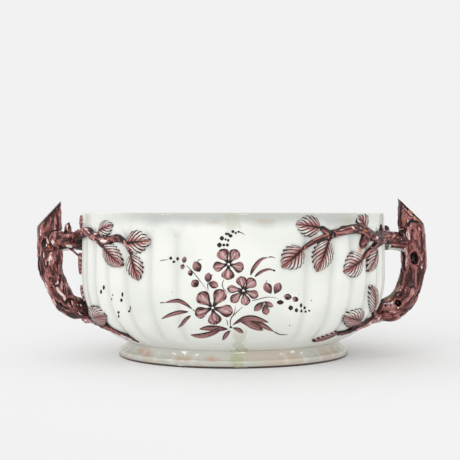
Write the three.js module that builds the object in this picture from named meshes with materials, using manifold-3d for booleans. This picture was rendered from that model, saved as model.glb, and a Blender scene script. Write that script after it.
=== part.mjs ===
// An oval, ribbed tureen in tin-glazed earthenware, open at the top. It stands on a foot ring and
// has two handles like cut branches, whose twigs and leaves are laid over the wall.
// Millimetres, +Z up. The origin is under the middle of the foot, and -Y is the front.
import * as THREE from "three";
import { mergeVertices } from "three/addons/utils/BufferGeometryUtils.js";
import Module from "manifold-3d";

const wasm = await Module();
wasm.setup();
const { Manifold, Mesh: ManifoldMesh } = wasm;

// The bowl
const RIM_HEIGHT = 140.6;
const RIM_HALF_LENGTH = 150;
const BELLY_HALF_LENGTH = 151;
const BELLY_HEIGHT = 85;
const OVAL = 0.8; // the plan's width over its length
const WALL = 5.5;
const LIP_ROUND = 1.2;
const FLOOR = 7;

// The ribs: a smooth panel at the front and back, and upright ribs round each end
const PANEL_TURN = 45; // degrees
const RIBS_PER_END = 13;
const RIB_TURN = (180 - PANEL_TURN) / RIBS_PER_END;
const GROOVE_DEPTH = 2.6;
const RIB_TOP = 131.5; // a plain band is left from here to the rim
const RIB_ARCH = 8; // how far a rib's round top falls at its edges
const INNER_GROOVE_SHARE = 0.5;

// The foot ring
const FOOT_HEIGHT = 15;
const FOOT_NECK = 105.8;
const FOOT_HALF_LENGTH = 114;
const FOOT_BORE = 99;
const FOOT_GROOVE = 0.9;

// How pieces are luted together
const JOINT_GAP = 0.3;
const SINK = 3.6; // how far a leaf or twig is bedded below the crowns of the ribs before it is cut to fit

const GLAZE = new THREE.MeshStandardMaterial({ color: 0xe6e7e2, roughness: 0.18, metalness: 0 });
const BARK = new THREE.MeshStandardMaterial({ color: 0x7a4f4e, roughness: 0.25, metalness: 0 });
const LEAF = new THREE.MeshStandardMaterial({ color: 0x9c7472, roughness: 0.25, metalness: 0 });

const smoothstep = THREE.MathUtils.smoothstep;
const lerp = THREE.MathUtils.lerp;

// Solids

// A closed three.js geometry as a solid that can be joined and cut.
function solidOf(geometry) {
  const bare = new THREE.BufferGeometry();
  bare.setAttribute("position", geometry.getAttribute("position"));
  bare.setIndex(geometry.index);
  const merged = mergeVertices(bare, 1e-3);
  const index = merged.index.array;
  const kept = [];
  for (let i = 0; i < index.length; i += 3) {
    const [a, b, c] = [index[i], index[i + 1], index[i + 2]];
    if (a !== b && b !== c && c !== a) kept.push(a, b, c);
  }
  return new Manifold(
    new ManifoldMesh({
      numProp: 3,
      vertProperties: merged.attributes.position.array,
      triVerts: new Uint32Array(kept),
    }),
  );
}

// The solid's largest body, without slivers that a cut has left.
function largestBody(solid) {
  return solid.decompose().reduce((best, body) => (body.volume() > best.volume() ? body : best));
}

function cutBy(solid, cutters) {
  return largestBody(cutters.reduce((left, cutter) => left.subtract(cutter), solid));
}

function join(solids) {
  return solids.reduce((all, solid) => all.add(solid));
}

function geometryOf(solid) {
  const { vertProperties, triVerts } = solid.getMesh();
  const geometry = new THREE.BufferGeometry();
  geometry.setAttribute("position", new THREE.BufferAttribute(vertProperties, 3));
  geometry.setIndex(new THREE.BufferAttribute(triVerts, 1));
  geometry.computeVertexNormals();
  return geometry;
}

// Moves every vertex of a geometry to the place that the function gives for it.
function reshape(geometry, placeOf) {
  const position = geometry.attributes.position;
  const point = new THREE.Vector3();
  for (let i = 0; i < position.count; i++) {
    const placed = placeOf(point.fromBufferAttribute(position, i));
    position.setXYZ(i, placed.x, placed.y, placed.z);
  }
  return geometry;
}

// The oval wall. A turn is in degrees round the plan: 0 at the front, 90 at the right end, -90 at the left.

function ovalPoint(radius, turn, height, inset = 0) {
  const angle = THREE.MathUtils.degToRad(turn);
  return new THREE.Vector3(
    (radius - inset) * Math.sin(angle),
    -(OVAL * radius - inset) * Math.cos(angle),
    height,
  );
}

// 1 in the groove between two ribs, easing to 0 at a rib's crown or half a rib's width into a panel.
function grooveShare(turn) {
  const folded = ((turn % 180) + 180) % 180;
  const fromPanel = Math.min(folded, 180 - folded) - PANEL_TURN / 2;
  const intoRib = ((fromPanel % RIB_TURN) + RIB_TURN) % RIB_TURN;
  const toEdge = fromPanel < 0 ? -fromPanel : Math.min(intoRib, RIB_TURN - intoRib);
  return (1 - Math.min(toEdge / (RIB_TURN / 2), 1)) ** 2;
}

// How far the wall stands back from the crowns of the ribs at this turn and height.
function grooveInset(turn, height) {
  const share = grooveShare(turn);
  const top = RIB_TOP - RIB_ARCH * (1 - Math.sqrt(1 - share));
  const fadeAtTop = 1 - smoothstep(height, top - 7, top);
  const fadeAtFoot = smoothstep(height, FOOT_HEIGHT, FOOT_HEIGHT + 16);
  return GROOVE_DEPTH * share * fadeAtTop * fadeAtFoot;
}

// The turns at which the lathe has a column: three to a rib, and closer near the edges of a panel.
function columnTurns() {
  const panel = [0, 3, 14, 22.5, 31, 42];
  const end = [];
  for (let rib = 0; rib < RIBS_PER_END; rib++) {
    for (const part of [0, 0.32, 0.68]) end.push(PANEL_TURN + RIB_TURN * (rib + part));
  }
  const half = [...panel, ...end];
  return [...half, ...half.map((turn) => turn + 180), 360].map((turn) => turn - PANEL_TURN / 2);
}
const TURNS = columnTurns();

// A lathe profile of rows { radius, height, inset(turn) }, turned round the oval instead of a circle.
function ovalLathe(rows) {
  const profile = rows.map(({ radius, height }) => new THREE.Vector2(radius, height));
  const geometry = new THREE.LatheGeometry(profile, TURNS.length - 1);
  TURNS.forEach((turn, column) =>
    rows.forEach(({ radius, height, inset }, row) => {
      const { x, y, z } = ovalPoint(radius, turn, height, inset ? inset(turn) : 0);
      geometry.attributes.position.setXYZ(column * rows.length + row, x, y, z);
    }),
  );
  return geometry;
}

// The outside of the wall, from the foot's neck to the rim, as radius and height.
const belly = new THREE.CubicBezierCurve(
  new THREE.Vector2(FOOT_NECK, FOOT_HEIGHT),
  new THREE.Vector2(132, 25),
  new THREE.Vector2(BELLY_HALF_LENGTH + 0.5, 42),
  new THREE.Vector2(BELLY_HALF_LENGTH, BELLY_HEIGHT),
);
const upright = new THREE.LineCurve(
  new THREE.Vector2(BELLY_HALF_LENGTH, BELLY_HEIGHT),
  new THREE.Vector2(RIM_HALF_LENGTH, RIM_HEIGHT),
);
const wallLine = new THREE.CurvePath();
wallLine.add(belly);
wallLine.add(upright);
const WALL_LENGTH = wallLine.getLength();
const wallTrace = wallLine.getSpacedPoints(160);

// The distance up the wall from the foot's neck at which it reaches a height.
function riseAt(height) {
  const next = Math.max(1, wallTrace.findIndex((point) => point.y >= height));
  const [low, high] = [wallTrace[next - 1], wallTrace[next]];
  const step = WALL_LENGTH / (wallTrace.length - 1);
  return step * (next - 1 + (height - low.y) / (high.y - low.y));
}

// A point on the crowns of the ribs, and off it by lift.
function wallPoint(turn, rise, lift = 0) {
  const at = (degrees, distance) => {
    const line = wallLine.getPoint(THREE.MathUtils.clamp(distance / WALL_LENGTH, 0, 1));
    return ovalPoint(line.x, degrees, line.y);
  };
  const here = at(turn, rise);
  const low = Math.min(rise, WALL_LENGTH - 1);
  const up = at(turn, low + 1).sub(at(turn, low));
  const along = at(turn + 0.5, rise).sub(at(turn - 0.5, rise));
  return here.addScaledVector(along.cross(up).normalize(), lift);
}

function outsideRows(grow = 0) {
  const heights = [22, 34, 50, 74, 121, 127, RIB_TOP, RIM_HEIGHT - LIP_ROUND];
  const rows = heights.map((height) => ({
    radius: wallLine.getPoint(riseAt(height) / WALL_LENGTH).x + grow,
    height,
    inset: (turn) => grooveInset(turn, height),
  }));
  return [{ radius: FOOT_NECK + grow, height: FOOT_HEIGHT - grow }, ...rows];
}

function insideRows() {
  const side = BELLY_HALF_LENGTH - WALL;
  const hollow = new THREE.CubicBezierCurve(
    new THREE.Vector2(side, BELLY_HEIGHT),
    new THREE.Vector2(side, 46),
    new THREE.Vector2(126, FOOT_HEIGHT + FLOOR + 2),
    new THREE.Vector2(96, FOOT_HEIGHT + FLOOR),
  );
  const low = hollow.getPoints(3).map((point) => ({
    radius: point.x,
    height: point.y,
    inset: (turn) => INNER_GROOVE_SHARE * grooveInset(turn, point.y),
  }));
  return [{ radius: side - 0.3, height: RIB_TOP }, ...low];
}

function bowlSolid() {
  const inside = RIM_HALF_LENGTH - WALL;
  return solidOf(
    ovalLathe([
      { radius: 0, height: FOOT_HEIGHT - 1.5 },
      { radius: FOOT_BORE - 8, height: FOOT_HEIGHT },
      ...outsideRows(),
      { radius: RIM_HALF_LENGTH - LIP_ROUND, height: RIM_HEIGHT },
      { radius: inside + LIP_ROUND, height: RIM_HEIGHT },
      { radius: inside, height: RIM_HEIGHT - LIP_ROUND },
      ...insideRows(),
      { radius: 0, height: FOOT_HEIGHT + FLOOR - 1 },
    ]),
  );
}

// The bowl filled in and grown by the joint's gap, to cut whatever is laid on it.
function bowlSeat() {
  const top = RIM_HEIGHT + 20;
  return solidOf(
    ovalLathe([
      { radius: 0, height: FOOT_HEIGHT - JOINT_GAP },
      ...outsideRows(JOINT_GAP * 1.3),
      { radius: RIM_HALF_LENGTH + JOINT_GAP, height: top },
      { radius: 0, height: top },
    ]),
  );
}

function footRing() {
  const top = FOOT_HEIGHT - JOINT_GAP;
  const scalloped = (turn) => FOOT_GROOVE * grooveShare(turn);
  return solidOf(
    ovalLathe([
      { radius: FOOT_BORE, height: top },
      { radius: FOOT_BORE + 5, height: 0 },
      { radius: FOOT_HALF_LENGTH, height: 0 },
      { radius: FOOT_HALF_LENGTH - 1.8, height: 6, inset: scalloped },
      { radius: FOOT_NECK + 2.8, height: 11, inset: scalloped },
      { radius: FOOT_NECK, height: top },
      { radius: FOOT_BORE, height: top },
    ]),
  );
}

// Branches

// A cylinder drawn along the stations { at, radius }, with lengthwise ridges like bark.
function limb(stations, { sides = 8, steps = 3 * (stations.length - 1), ridges = 0, grow = 0 } = {}) {
  const curve = new THREE.CatmullRomCurve3(stations.map((station) => station.at));
  const normal = new THREE.Vector3(0.35, -1, 0.2);
  const frames = [];
  for (let step = 0; step <= steps; step++) {
    const share = step / steps;
    const along = curve.getTangent(share);
    normal.addScaledVector(along, -normal.dot(along)).normalize();
    const centre = curve.getPoint(share);
    if (step === 0) centre.addScaledVector(along, -grow);
    if (step === steps) centre.addScaledVector(along, grow);
    const place = share * (stations.length - 1);
    const from = Math.min(Math.floor(place), stations.length - 2);
    const radius = lerp(stations[from].radius, stations[from + 1].radius, place - from) + grow;
    frames.push({ centre, radius, normal: normal.clone(), side: normal.clone().cross(along) });
  }
  const cylinder = new THREE.CylinderGeometry(1, 1, 1, sides, steps);
  return solidOf(
    reshape(cylinder, (point) => {
      const frame = frames[Math.round((point.y + 0.5) * steps)];
      const angle = Math.atan2(point.z, point.x);
      const radius = frame.radius * (1 + ridges * Math.cos(5 * angle + 0.4 * point.y * steps));
      return frame.centre
        .clone()
        .addScaledVector(frame.normal, point.x * radius)
        .addScaledVector(frame.side, point.z * radius);
    }),
  );
}

// The scar of a lopped twig: a low collar with a hollow eye, facing the given way.
function knot(at, facing, radius, grow) {
  const profile = [
    [0, -radius],
    [radius + grow, -radius],
    [radius * 0.85 + grow, radius * 0.25],
    [radius * 0.6 + grow, radius * 0.5 + grow],
    [0, grow ? radius * 0.5 + grow : 0],
  ];
  const collar = new THREE.LatheGeometry(
    profile.map(([x, y]) => new THREE.Vector2(x, y)),
    7,
  );
  const turned = new THREE.Quaternion().setFromUnitVectors(new THREE.Vector3(0, 1, 0), facing);
  return solidOf(reshape(collar, (point) => point.applyQuaternion(turned).add(at)));
}

// One handle. Its stations are [reach from the middle, height, radius, y], at its own end of the bowl,
// and its knots [reach, height, turn, distance out, radius], where turn 0 faces the front and 90 away
// from the bowl.
function handleSolid(side, handle, grow = 0) {
  const stations = (list) =>
    list.map(([reach, height, radius, y = 0]) => ({
      at: new THREE.Vector3(side * reach, y, height),
      radius,
    }));
  const trunk = limb(stations(handle.trunk), { sides: 10, steps: 15, ridges: 0.06, grow });
  const arm = limb(stations(handle.arm), { sides: 9, steps: 4, ridges: 0.06, grow });
  const thorns = handle.thorns.map((list) => limb(stations(list), { sides: 5, steps: 2, grow }));
  const knots = handle.knots.map(([reach, height, turn, out, radius]) => {
    const angle = THREE.MathUtils.degToRad(turn);
    const facing = new THREE.Vector3(side * Math.sin(angle), -Math.cos(angle), 0);
    const centre = new THREE.Vector3(side * reach, 0, height);
    return knot(centre.addScaledVector(facing, out), facing, radius, grow);
  });
  return join([trunk, arm, ...thorns, ...knots]).subtract(obliqueCut(side, handle.cut, grow));
}

// A block whose face cuts the top of the trunk off at a slant, from its inner tip down to its shoulder.
function obliqueCut(side, { tip, shoulder }, grow) {
  const size = 80;
  const face = new THREE.Vector2(shoulder[0] - tip[0], shoulder[1] - tip[1]);
  const slant = Math.atan2(face.y, face.x);
  const outward = new THREE.Vector2(-face.y, face.x).normalize();
  const middle = new THREE.Vector2((tip[0] + shoulder[0]) / 2, (tip[1] + shoulder[1]) / 2);
  middle.addScaledVector(outward, size / 2 + grow);
  const block = new THREE.BoxGeometry(size, size, size);
  block.rotateY(-side * slant);
  block.translate(side * middle.x, 0, middle.y);
  return solidOf(block);
}

// Twigs and leaves on the wall

// Stations on the wall: [turn, height, radius, lift]. A twig is half bedded unless it is lifted.
function onWall(list, around) {
  return list.map(([turn, height, radius, lift = 0.3 * radius]) => ({
    at: wallPoint(turn + around, riseAt(height), lift),
    radius,
  }));
}

function twigSolid(shoots, around, grow = 0) {
  const shape = (list) => ({ sides: 5, steps: list.length - 1, grow });
  return join(shoots.map((list) => limb(onWall(list, around), shape(list))));
}

// A toothed leaf, from its stalk to its tip, each given as [turn, height], bedded on the wall.
function leafSolid({ stalk, tip, width, stand = 0 }, around, grow = 0) {
  const across = 2;
  const teeth = 4;
  const rise = riseAt(stalk[1]);
  const millimetresPerDegree = wallPoint(stalk[0] + 0.5, rise).distanceTo(wallPoint(stalk[0] - 0.5, rise));
  const run = new THREE.Vector2((tip[0] - stalk[0]) * millimetresPerDegree, riseAt(tip[1]) - rise);
  const length = run.length();
  run.normalize();
  const slab = new THREE.BoxGeometry(2, 1, 1, across, 2 * teeth, 1);
  return solidOf(
    reshape(slab, (point) => {
      const u = point.x;
      const v = point.y + 0.5;
      const tooth = Math.round(v * 2 * teeth) % 2 ? 1.08 : 0.9;
      const half = (width / 2) * Math.sin(Math.PI * v ** 0.8) ** 0.75 * tooth + 0.7 + grow;
      const x = v * length * run.x + u * half * run.y;
      const y = v * length * run.y - u * half * run.x;
      const blade = 0.9 + 1.5 * (1 - u * u) * Math.sin(Math.PI * v) ** 0.5 - (u === 0 ? 0.5 : 0);
      const lift = point.z > 0 ? blade + stand * (1 - v) + grow : -SINK;
      return wallPoint(stalk[0] + around + x / millimetresPerDegree, rise + y, lift);
    }),
  );
}

// What was measured, for each side of the object

const HANDLES = {
  left: {
    side: -1,
    trunk: [
      [181.5, 160, 10.5],
      [182, 140, 11.5],
      [182.3, 120, 12],
      [181.4, 99, 11.9],
      [181.3, 86, 11.8],
      [178, 75, 10.8],
      [172.6, 62, 10.2],
      [165.4, 51.5, 10.4],
      [157, 46, 12],
      [145, 43, 12.2],
    ],
    arm: [
      [182, 112, 10.5],
      [168, 112.5, 9.6],
      [157, 112.5, 9],
      [144, 112.5, 9.6],
    ],
    thorns: [
      [
        [164.2, 118, 4.4],
        [164.4, 125, 3.4],
        [165, 131.6, 1.2],
      ],
      [
        [163, 108, 1.8, -6],
        [158.5, 103.6, 1.2, -7.5],
        [153, 98.5, 1.1, -9],
      ],
    ],
    knots: [
      [186, 112, 0, 10, 4.2],
      [180.5, 88.2, 76, 9.5, 4.6],
      [163.5, 54, 0, 10.2, 3.6],
      [154.6, 123.6, 8, 6.6, 4.4],
      [183, 100, 180, 10.5, 4.6],
    ],
    cut: { tip: [171.3, 151.9], shoulder: [194.2, 127.6] },
  },
  right: {
    side: 1,
    trunk: [
      [176.6, 166, 11],
      [179.2, 142, 12.6],
      [180.3, 127, 12.8],
      [182, 104, 12.4],
      [182.5, 91, 12.4],
      [181.2, 77, 12.2],
      [177.5, 65, 12],
      [170.5, 52, 12.6],
      [159, 43, 13.2],
      [145, 40.5, 12.8],
    ],
    arm: [
      [182, 112, 10.4],
      [168, 112, 9.6],
      [157, 112.5, 9.4],
      [144, 112.5, 10],
    ],
    thorns: [
      [
        [158, 117, 4.4],
        [157.6, 123, 3.6],
        [157.3, 127, 2.2],
      ],
    ],
    knots: [
      [183.3, 95.3, 0, 11, 5],
      [167, 49.4, 0, 11.4, 4.6],
      [170, 59.4, 0, 10.4, 2.6],
      [182, 81, 80, 9.8, 4],
      [176, 60, 70, 9.5, 3.8],
      [184, 106, 180, 10.5, 4.4],
    ],
    cut: { tip: [165, 156.6], shoulder: [193.4, 129] },
  },
};

// The twigs and leaves of the front at each end. Turns are positive on both sides here.
const FRONT_GROWTH = {
  left: {
    upper_twig: [
      [
        [90, 113, 4.6, 12],
        [83, 118, 4.6, 5],
        [75, 121.5, 4.6],
        [66.5, 122.5, 4.4],
        [62.7, 119.2, 4.3],
        [57, 115.8, 3.9],
        [51.4, 116.1, 3.6],
        [46.5, 118.1, 3.3],
        [43, 113.8, 2.3],
        [40.8, 106, 1.8],
      ],
      [
        [48, 117.2, 2.6],
        [45, 115.6, 2],
        [42.2, 114.2, 1.5],
      ],
      [
        [62, 118, 3],
        [59.5, 120, 2.3],
        [58.6, 122, 1.7],
      ],
      [
        [59, 116.8, 2.8],
        [57.5, 113, 2.2],
        [55.6, 109.6, 1.7],
      ],
    ],
    lower_twig: [
      [
        [88, 41, 5, 7],
        [82, 39, 4.2, 3],
        [76, 37.4, 3.4],
        [69, 35, 2.9],
        [58.5, 30.6, 2.4],
        [53, 24.8, 2],
        [51.4, 20.5, 1.2],
      ],
    ],
    leaves: [
      { stalk: [58.6, 123.6], tip: [49.4, 130.2], width: 12.5 },
      { stalk: [42.4, 113.6], tip: [32.4, 116.2], width: 19 },
      { stalk: [55, 110], tip: [44.2, 93], width: 17.5 },
      { stalk: [40.3, 103], tip: [36.7, 80.5], width: 16 },
      { stalk: [76, 41.5], tip: [57.8, 46], width: 19.5, stand: 2 },
      { stalk: [84.5, 101.5], tip: [86, 80], width: 12, stand: 1 },
      { stalk: [85, 53.5], tip: [85.5, 70], width: 12 },
      { stalk: [82, 125.5], tip: [84, 138.5], width: 10 },
    ],
  },
  right: {
    upper_twig: [
      [
        [90, 115, 5, 12],
        [83, 117.5, 5, 5],
        [72, 118.5, 4.9],
        [62, 118.5, 4.9],
        [54.5, 119.4, 4.7],
        [49, 125, 4.6],
        [43.2, 125.9, 4.5],
        [38.6, 125, 4.2],
        [34, 122.4, 3.7],
        [31.6, 122.6, 2.9],
        [27.9, 127, 2.2],
      ],
      [
        [33.6, 121.5, 3],
        [28, 117.8, 2.5],
        [24.4, 114.6, 2.2],
        [21.1, 109.6, 1.8],
      ],
      [
        [33.4, 122, 2.6],
        [32, 118.8, 2.1],
        [31.1, 116.4, 1.8],
      ],
      [
        [70, 115.5, 4],
        [62.4, 112.1, 3.2],
        [55.4, 107.6, 2.7],
        [50.8, 102.4, 2.3],
        [48, 98, 1.8],
      ],
      [
        [51, 119.5, 3.2],
        [49.2, 112.4, 2.2],
        [48, 106.4, 1.5],
      ],
      [
        [66, 119.5, 3],
        [66, 125.5, 2],
        [66, 129, 1.4],
      ],
      [
        [51, 122.4, 3.2],
        [50.4, 125.6, 2.4],
        [50.1, 128, 1.6],
      ],
    ],
    lower_twig: [
      [
        [88, 40, 6, 7],
        [80, 38.6, 5, 3],
        [70, 37.4, 4],
        [62.5, 36, 3.6],
        [55.2, 34, 3.2],
        [49.4, 31, 2.9],
        [44.2, 29.6, 2.2],
      ],
      [
        [76, 40, 3.4],
        [69, 43, 2.8],
        [65.4, 47, 2],
      ],
    ],
    leaves: [
      { stalk: [27.6, 127.3], tip: [18.2, 131], width: 17 },
      { stalk: [20.6, 109.2], tip: [13.1, 93], width: 20 },
      { stalk: [31, 116], tip: [26.1, 88.5], width: 19.5 },
      { stalk: [50.2, 127.6], tip: [48.2, 137.4], width: 12 },
      { stalk: [48.6, 98.6], tip: [37.8, 87.5], width: 21 },
      { stalk: [60.6, 106.5], tip: [52.4, 86], width: 16 },
      { stalk: [65.4, 47], tip: [57.4, 73.4], width: 17 },
      { stalk: [56, 40.4], tip: [41.2, 46.2], width: 18.5 },
      { stalk: [43.6, 30.4], tip: [32.6, 23.6], width: 7 },
    ],
  },
};

// Assembly

const tureen = new THREE.Group();

function addPiece(name, solid, material) {
  const mesh = new THREE.Mesh(geometryOf(solid), material);
  mesh.name = name;
  tureen.add(mesh);
}

const mirrored = (point) => [-point[0], ...point.slice(1)];

// The growth at one corner. The back of each end carries what the front of the other end does,
// because the tureen looks the same when it is turned round by half.
function addGrowth(end, face, handleSeat) {
  const pattern = face === "front" ? end : end === "left" ? "right" : "left";
  const around = face === "front" ? 0 : 180;
  const sided = pattern === "left" ? mirrored : (point) => point;
  const seat = bowlSeat();
  const twigSeats = [];
  for (const level of ["upper", "lower"]) {
    const shoots = FRONT_GROWTH[pattern][level + "_twig"].map((shoot) => shoot.map(sided));
    addPiece(
      `${end}_${face}_${level}_twig`,
      cutBy(twigSolid(shoots, around), [seat, handleSeat]),
      BARK,
    );
    twigSeats.push(twigSolid(shoots, around, JOINT_GAP));
  }
  FRONT_GROWTH[pattern].leaves.forEach((leaf, number) => {
    const placed = { ...leaf, stalk: sided(leaf.stalk), tip: sided(leaf.tip) };
    addPiece(
      `${end}_${face}_leaf_${number + 1}`,
      cutBy(leafSolid(placed, around), [seat, handleSeat, ...twigSeats]),
      LEAF,
    );
  });
}

addPiece("bowl", bowlSolid(), GLAZE);
addPiece("foot_ring", footRing(), GLAZE);
for (const [end, handle] of Object.entries(HANDLES)) {
  addPiece(`${end}_branch_handle`, cutBy(handleSolid(handle.side, handle), [bowlSeat()]), BARK);
  const handleSeat = handleSolid(handle.side, handle, JOINT_GAP);
  addGrowth(end, "front", handleSeat);
  addGrowth(end, "back", handleSeat);
}

export default tureen;
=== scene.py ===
"""An oval tureen of tin-glazed earthenware, open at the top, dressed for the render.

The bowl stands on a foot ring and is pressed into ribs round each end. A handle like a cut branch
stands at each end, with twigs and leaves laid on the wall and flowers painted on the smooth panels.
Pieces are shaped in millimetres and scaled to metres when they are finished. -Y is the front.
"""

import logging
import math
from collections.abc import Iterator, Sequence
from contextlib import contextmanager
from dataclasses import dataclass, field
from enum import Enum
from functools import cached_property, partial

import bpy
import numpy as np
from mathutils import Matrix, Vector, noise


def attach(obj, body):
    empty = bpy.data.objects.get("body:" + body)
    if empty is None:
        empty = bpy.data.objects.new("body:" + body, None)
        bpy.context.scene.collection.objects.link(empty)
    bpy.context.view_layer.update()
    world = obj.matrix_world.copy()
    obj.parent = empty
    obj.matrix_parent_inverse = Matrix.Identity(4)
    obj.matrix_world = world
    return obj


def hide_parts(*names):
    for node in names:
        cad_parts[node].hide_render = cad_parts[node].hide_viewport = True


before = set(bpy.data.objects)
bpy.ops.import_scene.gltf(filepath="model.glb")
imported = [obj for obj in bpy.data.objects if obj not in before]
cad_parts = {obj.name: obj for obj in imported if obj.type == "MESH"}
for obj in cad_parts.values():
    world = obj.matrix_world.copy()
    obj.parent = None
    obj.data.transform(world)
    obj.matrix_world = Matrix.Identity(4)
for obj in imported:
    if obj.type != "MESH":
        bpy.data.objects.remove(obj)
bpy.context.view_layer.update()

LOG = logging.getLogger("tureen")
MM = 0.001
Place = tuple[float, float, float]
Colour = tuple[float, float, float, float]
Stations = Sequence[tuple[float, ...]]
Piece = bpy.types.Object
Finish = bpy.types.Material
Socket = bpy.types.NodeSocket
FRONT_NORMAL = (0.35, -1.0, 0.2)  # where round a branch its bark starts, as in the CAD source
PANEL_PLANE = -120.8  # y of the plane that the front of the wall was read on


class End(Enum):
    """The two ends of the bowl, by the side of the camera's view."""

    LEFT = "left"
    RIGHT = "right"

    @property
    def other(self) -> "End":
        """The end across the bowl."""
        return End.RIGHT if self is End.LEFT else End.LEFT

    @property
    def side(self) -> int:
        """The sign of x there."""
        return -1 if self is End.LEFT else 1


class Face(Enum):
    """The side of the bowl that a piece is on."""

    FRONT = "front"
    BACK = "back"

    @property
    def around(self) -> float:
        """How many degrees round the bowl the front's patterns are turned to lie on it."""
        return 0.0 if self is Face.FRONT else 180.0


class Level(Enum):
    """Which of a handle's two joints with the bowl a twig grows from."""

    UPPER = "upper"
    LOWER = "lower"


class Slot(Enum):
    """The record's material slots."""

    TIN = "tin_glaze"
    BARK = "bark_glaze"
    LEAF = "leaf_glaze"


# Bench work


def pick(*objects: Piece) -> None:
    """Selects these objects alone and makes the first one active."""
    bpy.ops.object.select_all(action="DESELECT")
    for one in objects:
        one.select_set(True)
    bpy.context.view_layer.objects.active = objects[0]


@contextmanager
def editing(piece: Piece) -> Iterator[None]:
    """Opens a piece in edit mode with all of it selected, and closes it again.

    Args:
        piece: The mesh object.

    Returns:
        Nothing, while the piece is open.
    """
    pick(piece)
    bpy.ops.object.mode_set(mode="EDIT")
    bpy.ops.mesh.select_all(action="SELECT")
    yield
    bpy.ops.object.mode_set(mode="OBJECT")


def rows_of(items: bpy.types.bpy_prop_collection, key: str, width: int = 3) -> np.ndarray:
    """What each item of a mesh's list holds under a key, one row each.

    Args:
        items: The list.
        key: The key.
        width: How many numbers each item holds.

    Returns:
        One row for each item.
    """
    flat = np.empty(width * len(items), dtype=np.float32)
    items.foreach_get(key, flat)
    return flat.reshape(-1, width).astype(float)


def points_of(piece: Piece) -> np.ndarray:
    """The places of a mesh's vertices, one row each."""
    return rows_of(piece.data.vertices, "co")


def normals_of(piece: Piece) -> np.ndarray:
    """The normals of a mesh's vertices, one row each."""
    return rows_of(piece.data.vertex_normals, "vector")


def noted(piece: Piece, name: str) -> np.ndarray:
    """The numbers stored at the vertices under a name."""
    return rows_of(piece.data.attributes[name].data, "value", 1)[:, 0]


def move_points(piece: Piece, points: np.ndarray) -> None:
    """Moves a mesh's vertices to the places given, one row each."""
    piece.data.vertices.foreach_set("co", points.astype(np.float32).ravel())
    piece.data.update()


def note(piece: Piece, name: str, values: np.ndarray) -> None:
    """Stores a number or a vector at each vertex, for the material to read.

    Args:
        piece: The mesh object.
        name: The attribute's name.
        values: One number or one row of three for each vertex.
    """
    kind, key = ("FLOAT", "value") if values.ndim == 1 else ("FLOAT_VECTOR", "vector")
    layer = piece.data.attributes.get(name) or piece.data.attributes.new(name, kind, "POINT")
    layer.data.foreach_set(key, values.astype(np.float32).ravel())


def merged(pieces: Sequence[Piece]) -> Piece:
    """Joins the pieces into the first one.

    Args:
        pieces: The mesh objects.

    Returns:
        The first, with the others in it.
    """
    pick(*pieces)
    if len(pieces) > 1:
        bpy.ops.object.join()
    return pieces[0]


def sheet(columns: int, rows: int) -> tuple[Piece, np.ndarray, np.ndarray]:
    """A flat sheet to shape, with each point's share across it from -1 to 1 and along it from 0 to 1.

    Args:
        columns: How many faces across.
        rows: How many faces along.

    Returns:
        The sheet, and each point's two shares.
    """
    bpy.ops.object.select_all(action="DESELECT")
    bpy.ops.mesh.primitive_grid_add(x_subdivisions=columns, y_subdivisions=rows, size=2)
    flat = points_of(bpy.context.object)
    return bpy.context.object, flat[:, 0], (flat[:, 1] + 1) / 2


def finish(piece: Piece, name: str, material: Finish, slot: Slot, nodes: Sequence[str] = ()) -> None:
    """Scales a shaped piece to metres, gives it its finish and hands it to the frame.

    Args:
        piece: The mesh object, in millimetres.
        name: The piece's name.
        material: Its finish.
        slot: The record's material slot; not used.
        nodes: The CAD nodes it stands for.
    """
    piece.name = piece.data.name = name
    piece.data.transform(Matrix.Scale(MM, 4))
    pick(piece)
    bpy.ops.object.shade_smooth()
    piece.data.materials.clear()
    piece.data.materials.append(material)
    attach(piece, "root")
    if nodes:
        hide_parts(*nodes)
    LOG.info("%s: %d vertices", name, len(piece.data.vertices))


def smoothstep(value: np.ndarray | float, low: float, high: float) -> np.ndarray:
    """Eases from 0 at low to 1 at high."""
    share = np.clip((value - low) / (high - low), 0.0, 1.0)
    return share * share * (3 - 2 * share)


def unit(vectors: np.ndarray) -> np.ndarray:
    """The vectors at length 1."""
    return vectors / np.linalg.norm(vectors, axis=-1, keepdims=True)


def travelled(points: np.ndarray) -> np.ndarray:
    """How far along a path each of its points is."""
    steps = np.linalg.norm(np.diff(points, axis=0), axis=1)
    return np.concatenate([[0.0], np.cumsum(steps)])


def between(at: np.ndarray, places: np.ndarray, rows: np.ndarray) -> np.ndarray:
    """The rows that belong at new places between those of the rows given."""
    return np.stack([np.interp(at, places, column) for column in rows.T], axis=1)


# The oval wall


def bezier(controls: Sequence[tuple[float, float]], count: int) -> np.ndarray:
    """Points along a cubic curve.

    Args:
        controls: Its four control points.
        count: How many points to give.

    Returns:
        One row for each point.
    """
    first, second, third, last = (np.array(point) for point in controls)
    t = np.linspace(0.0, 1.0, count)[:, None]
    s = 1 - t
    return s**3 * first + 3 * s**2 * t * second + 3 * s * t**2 * third + t**3 * last


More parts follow.
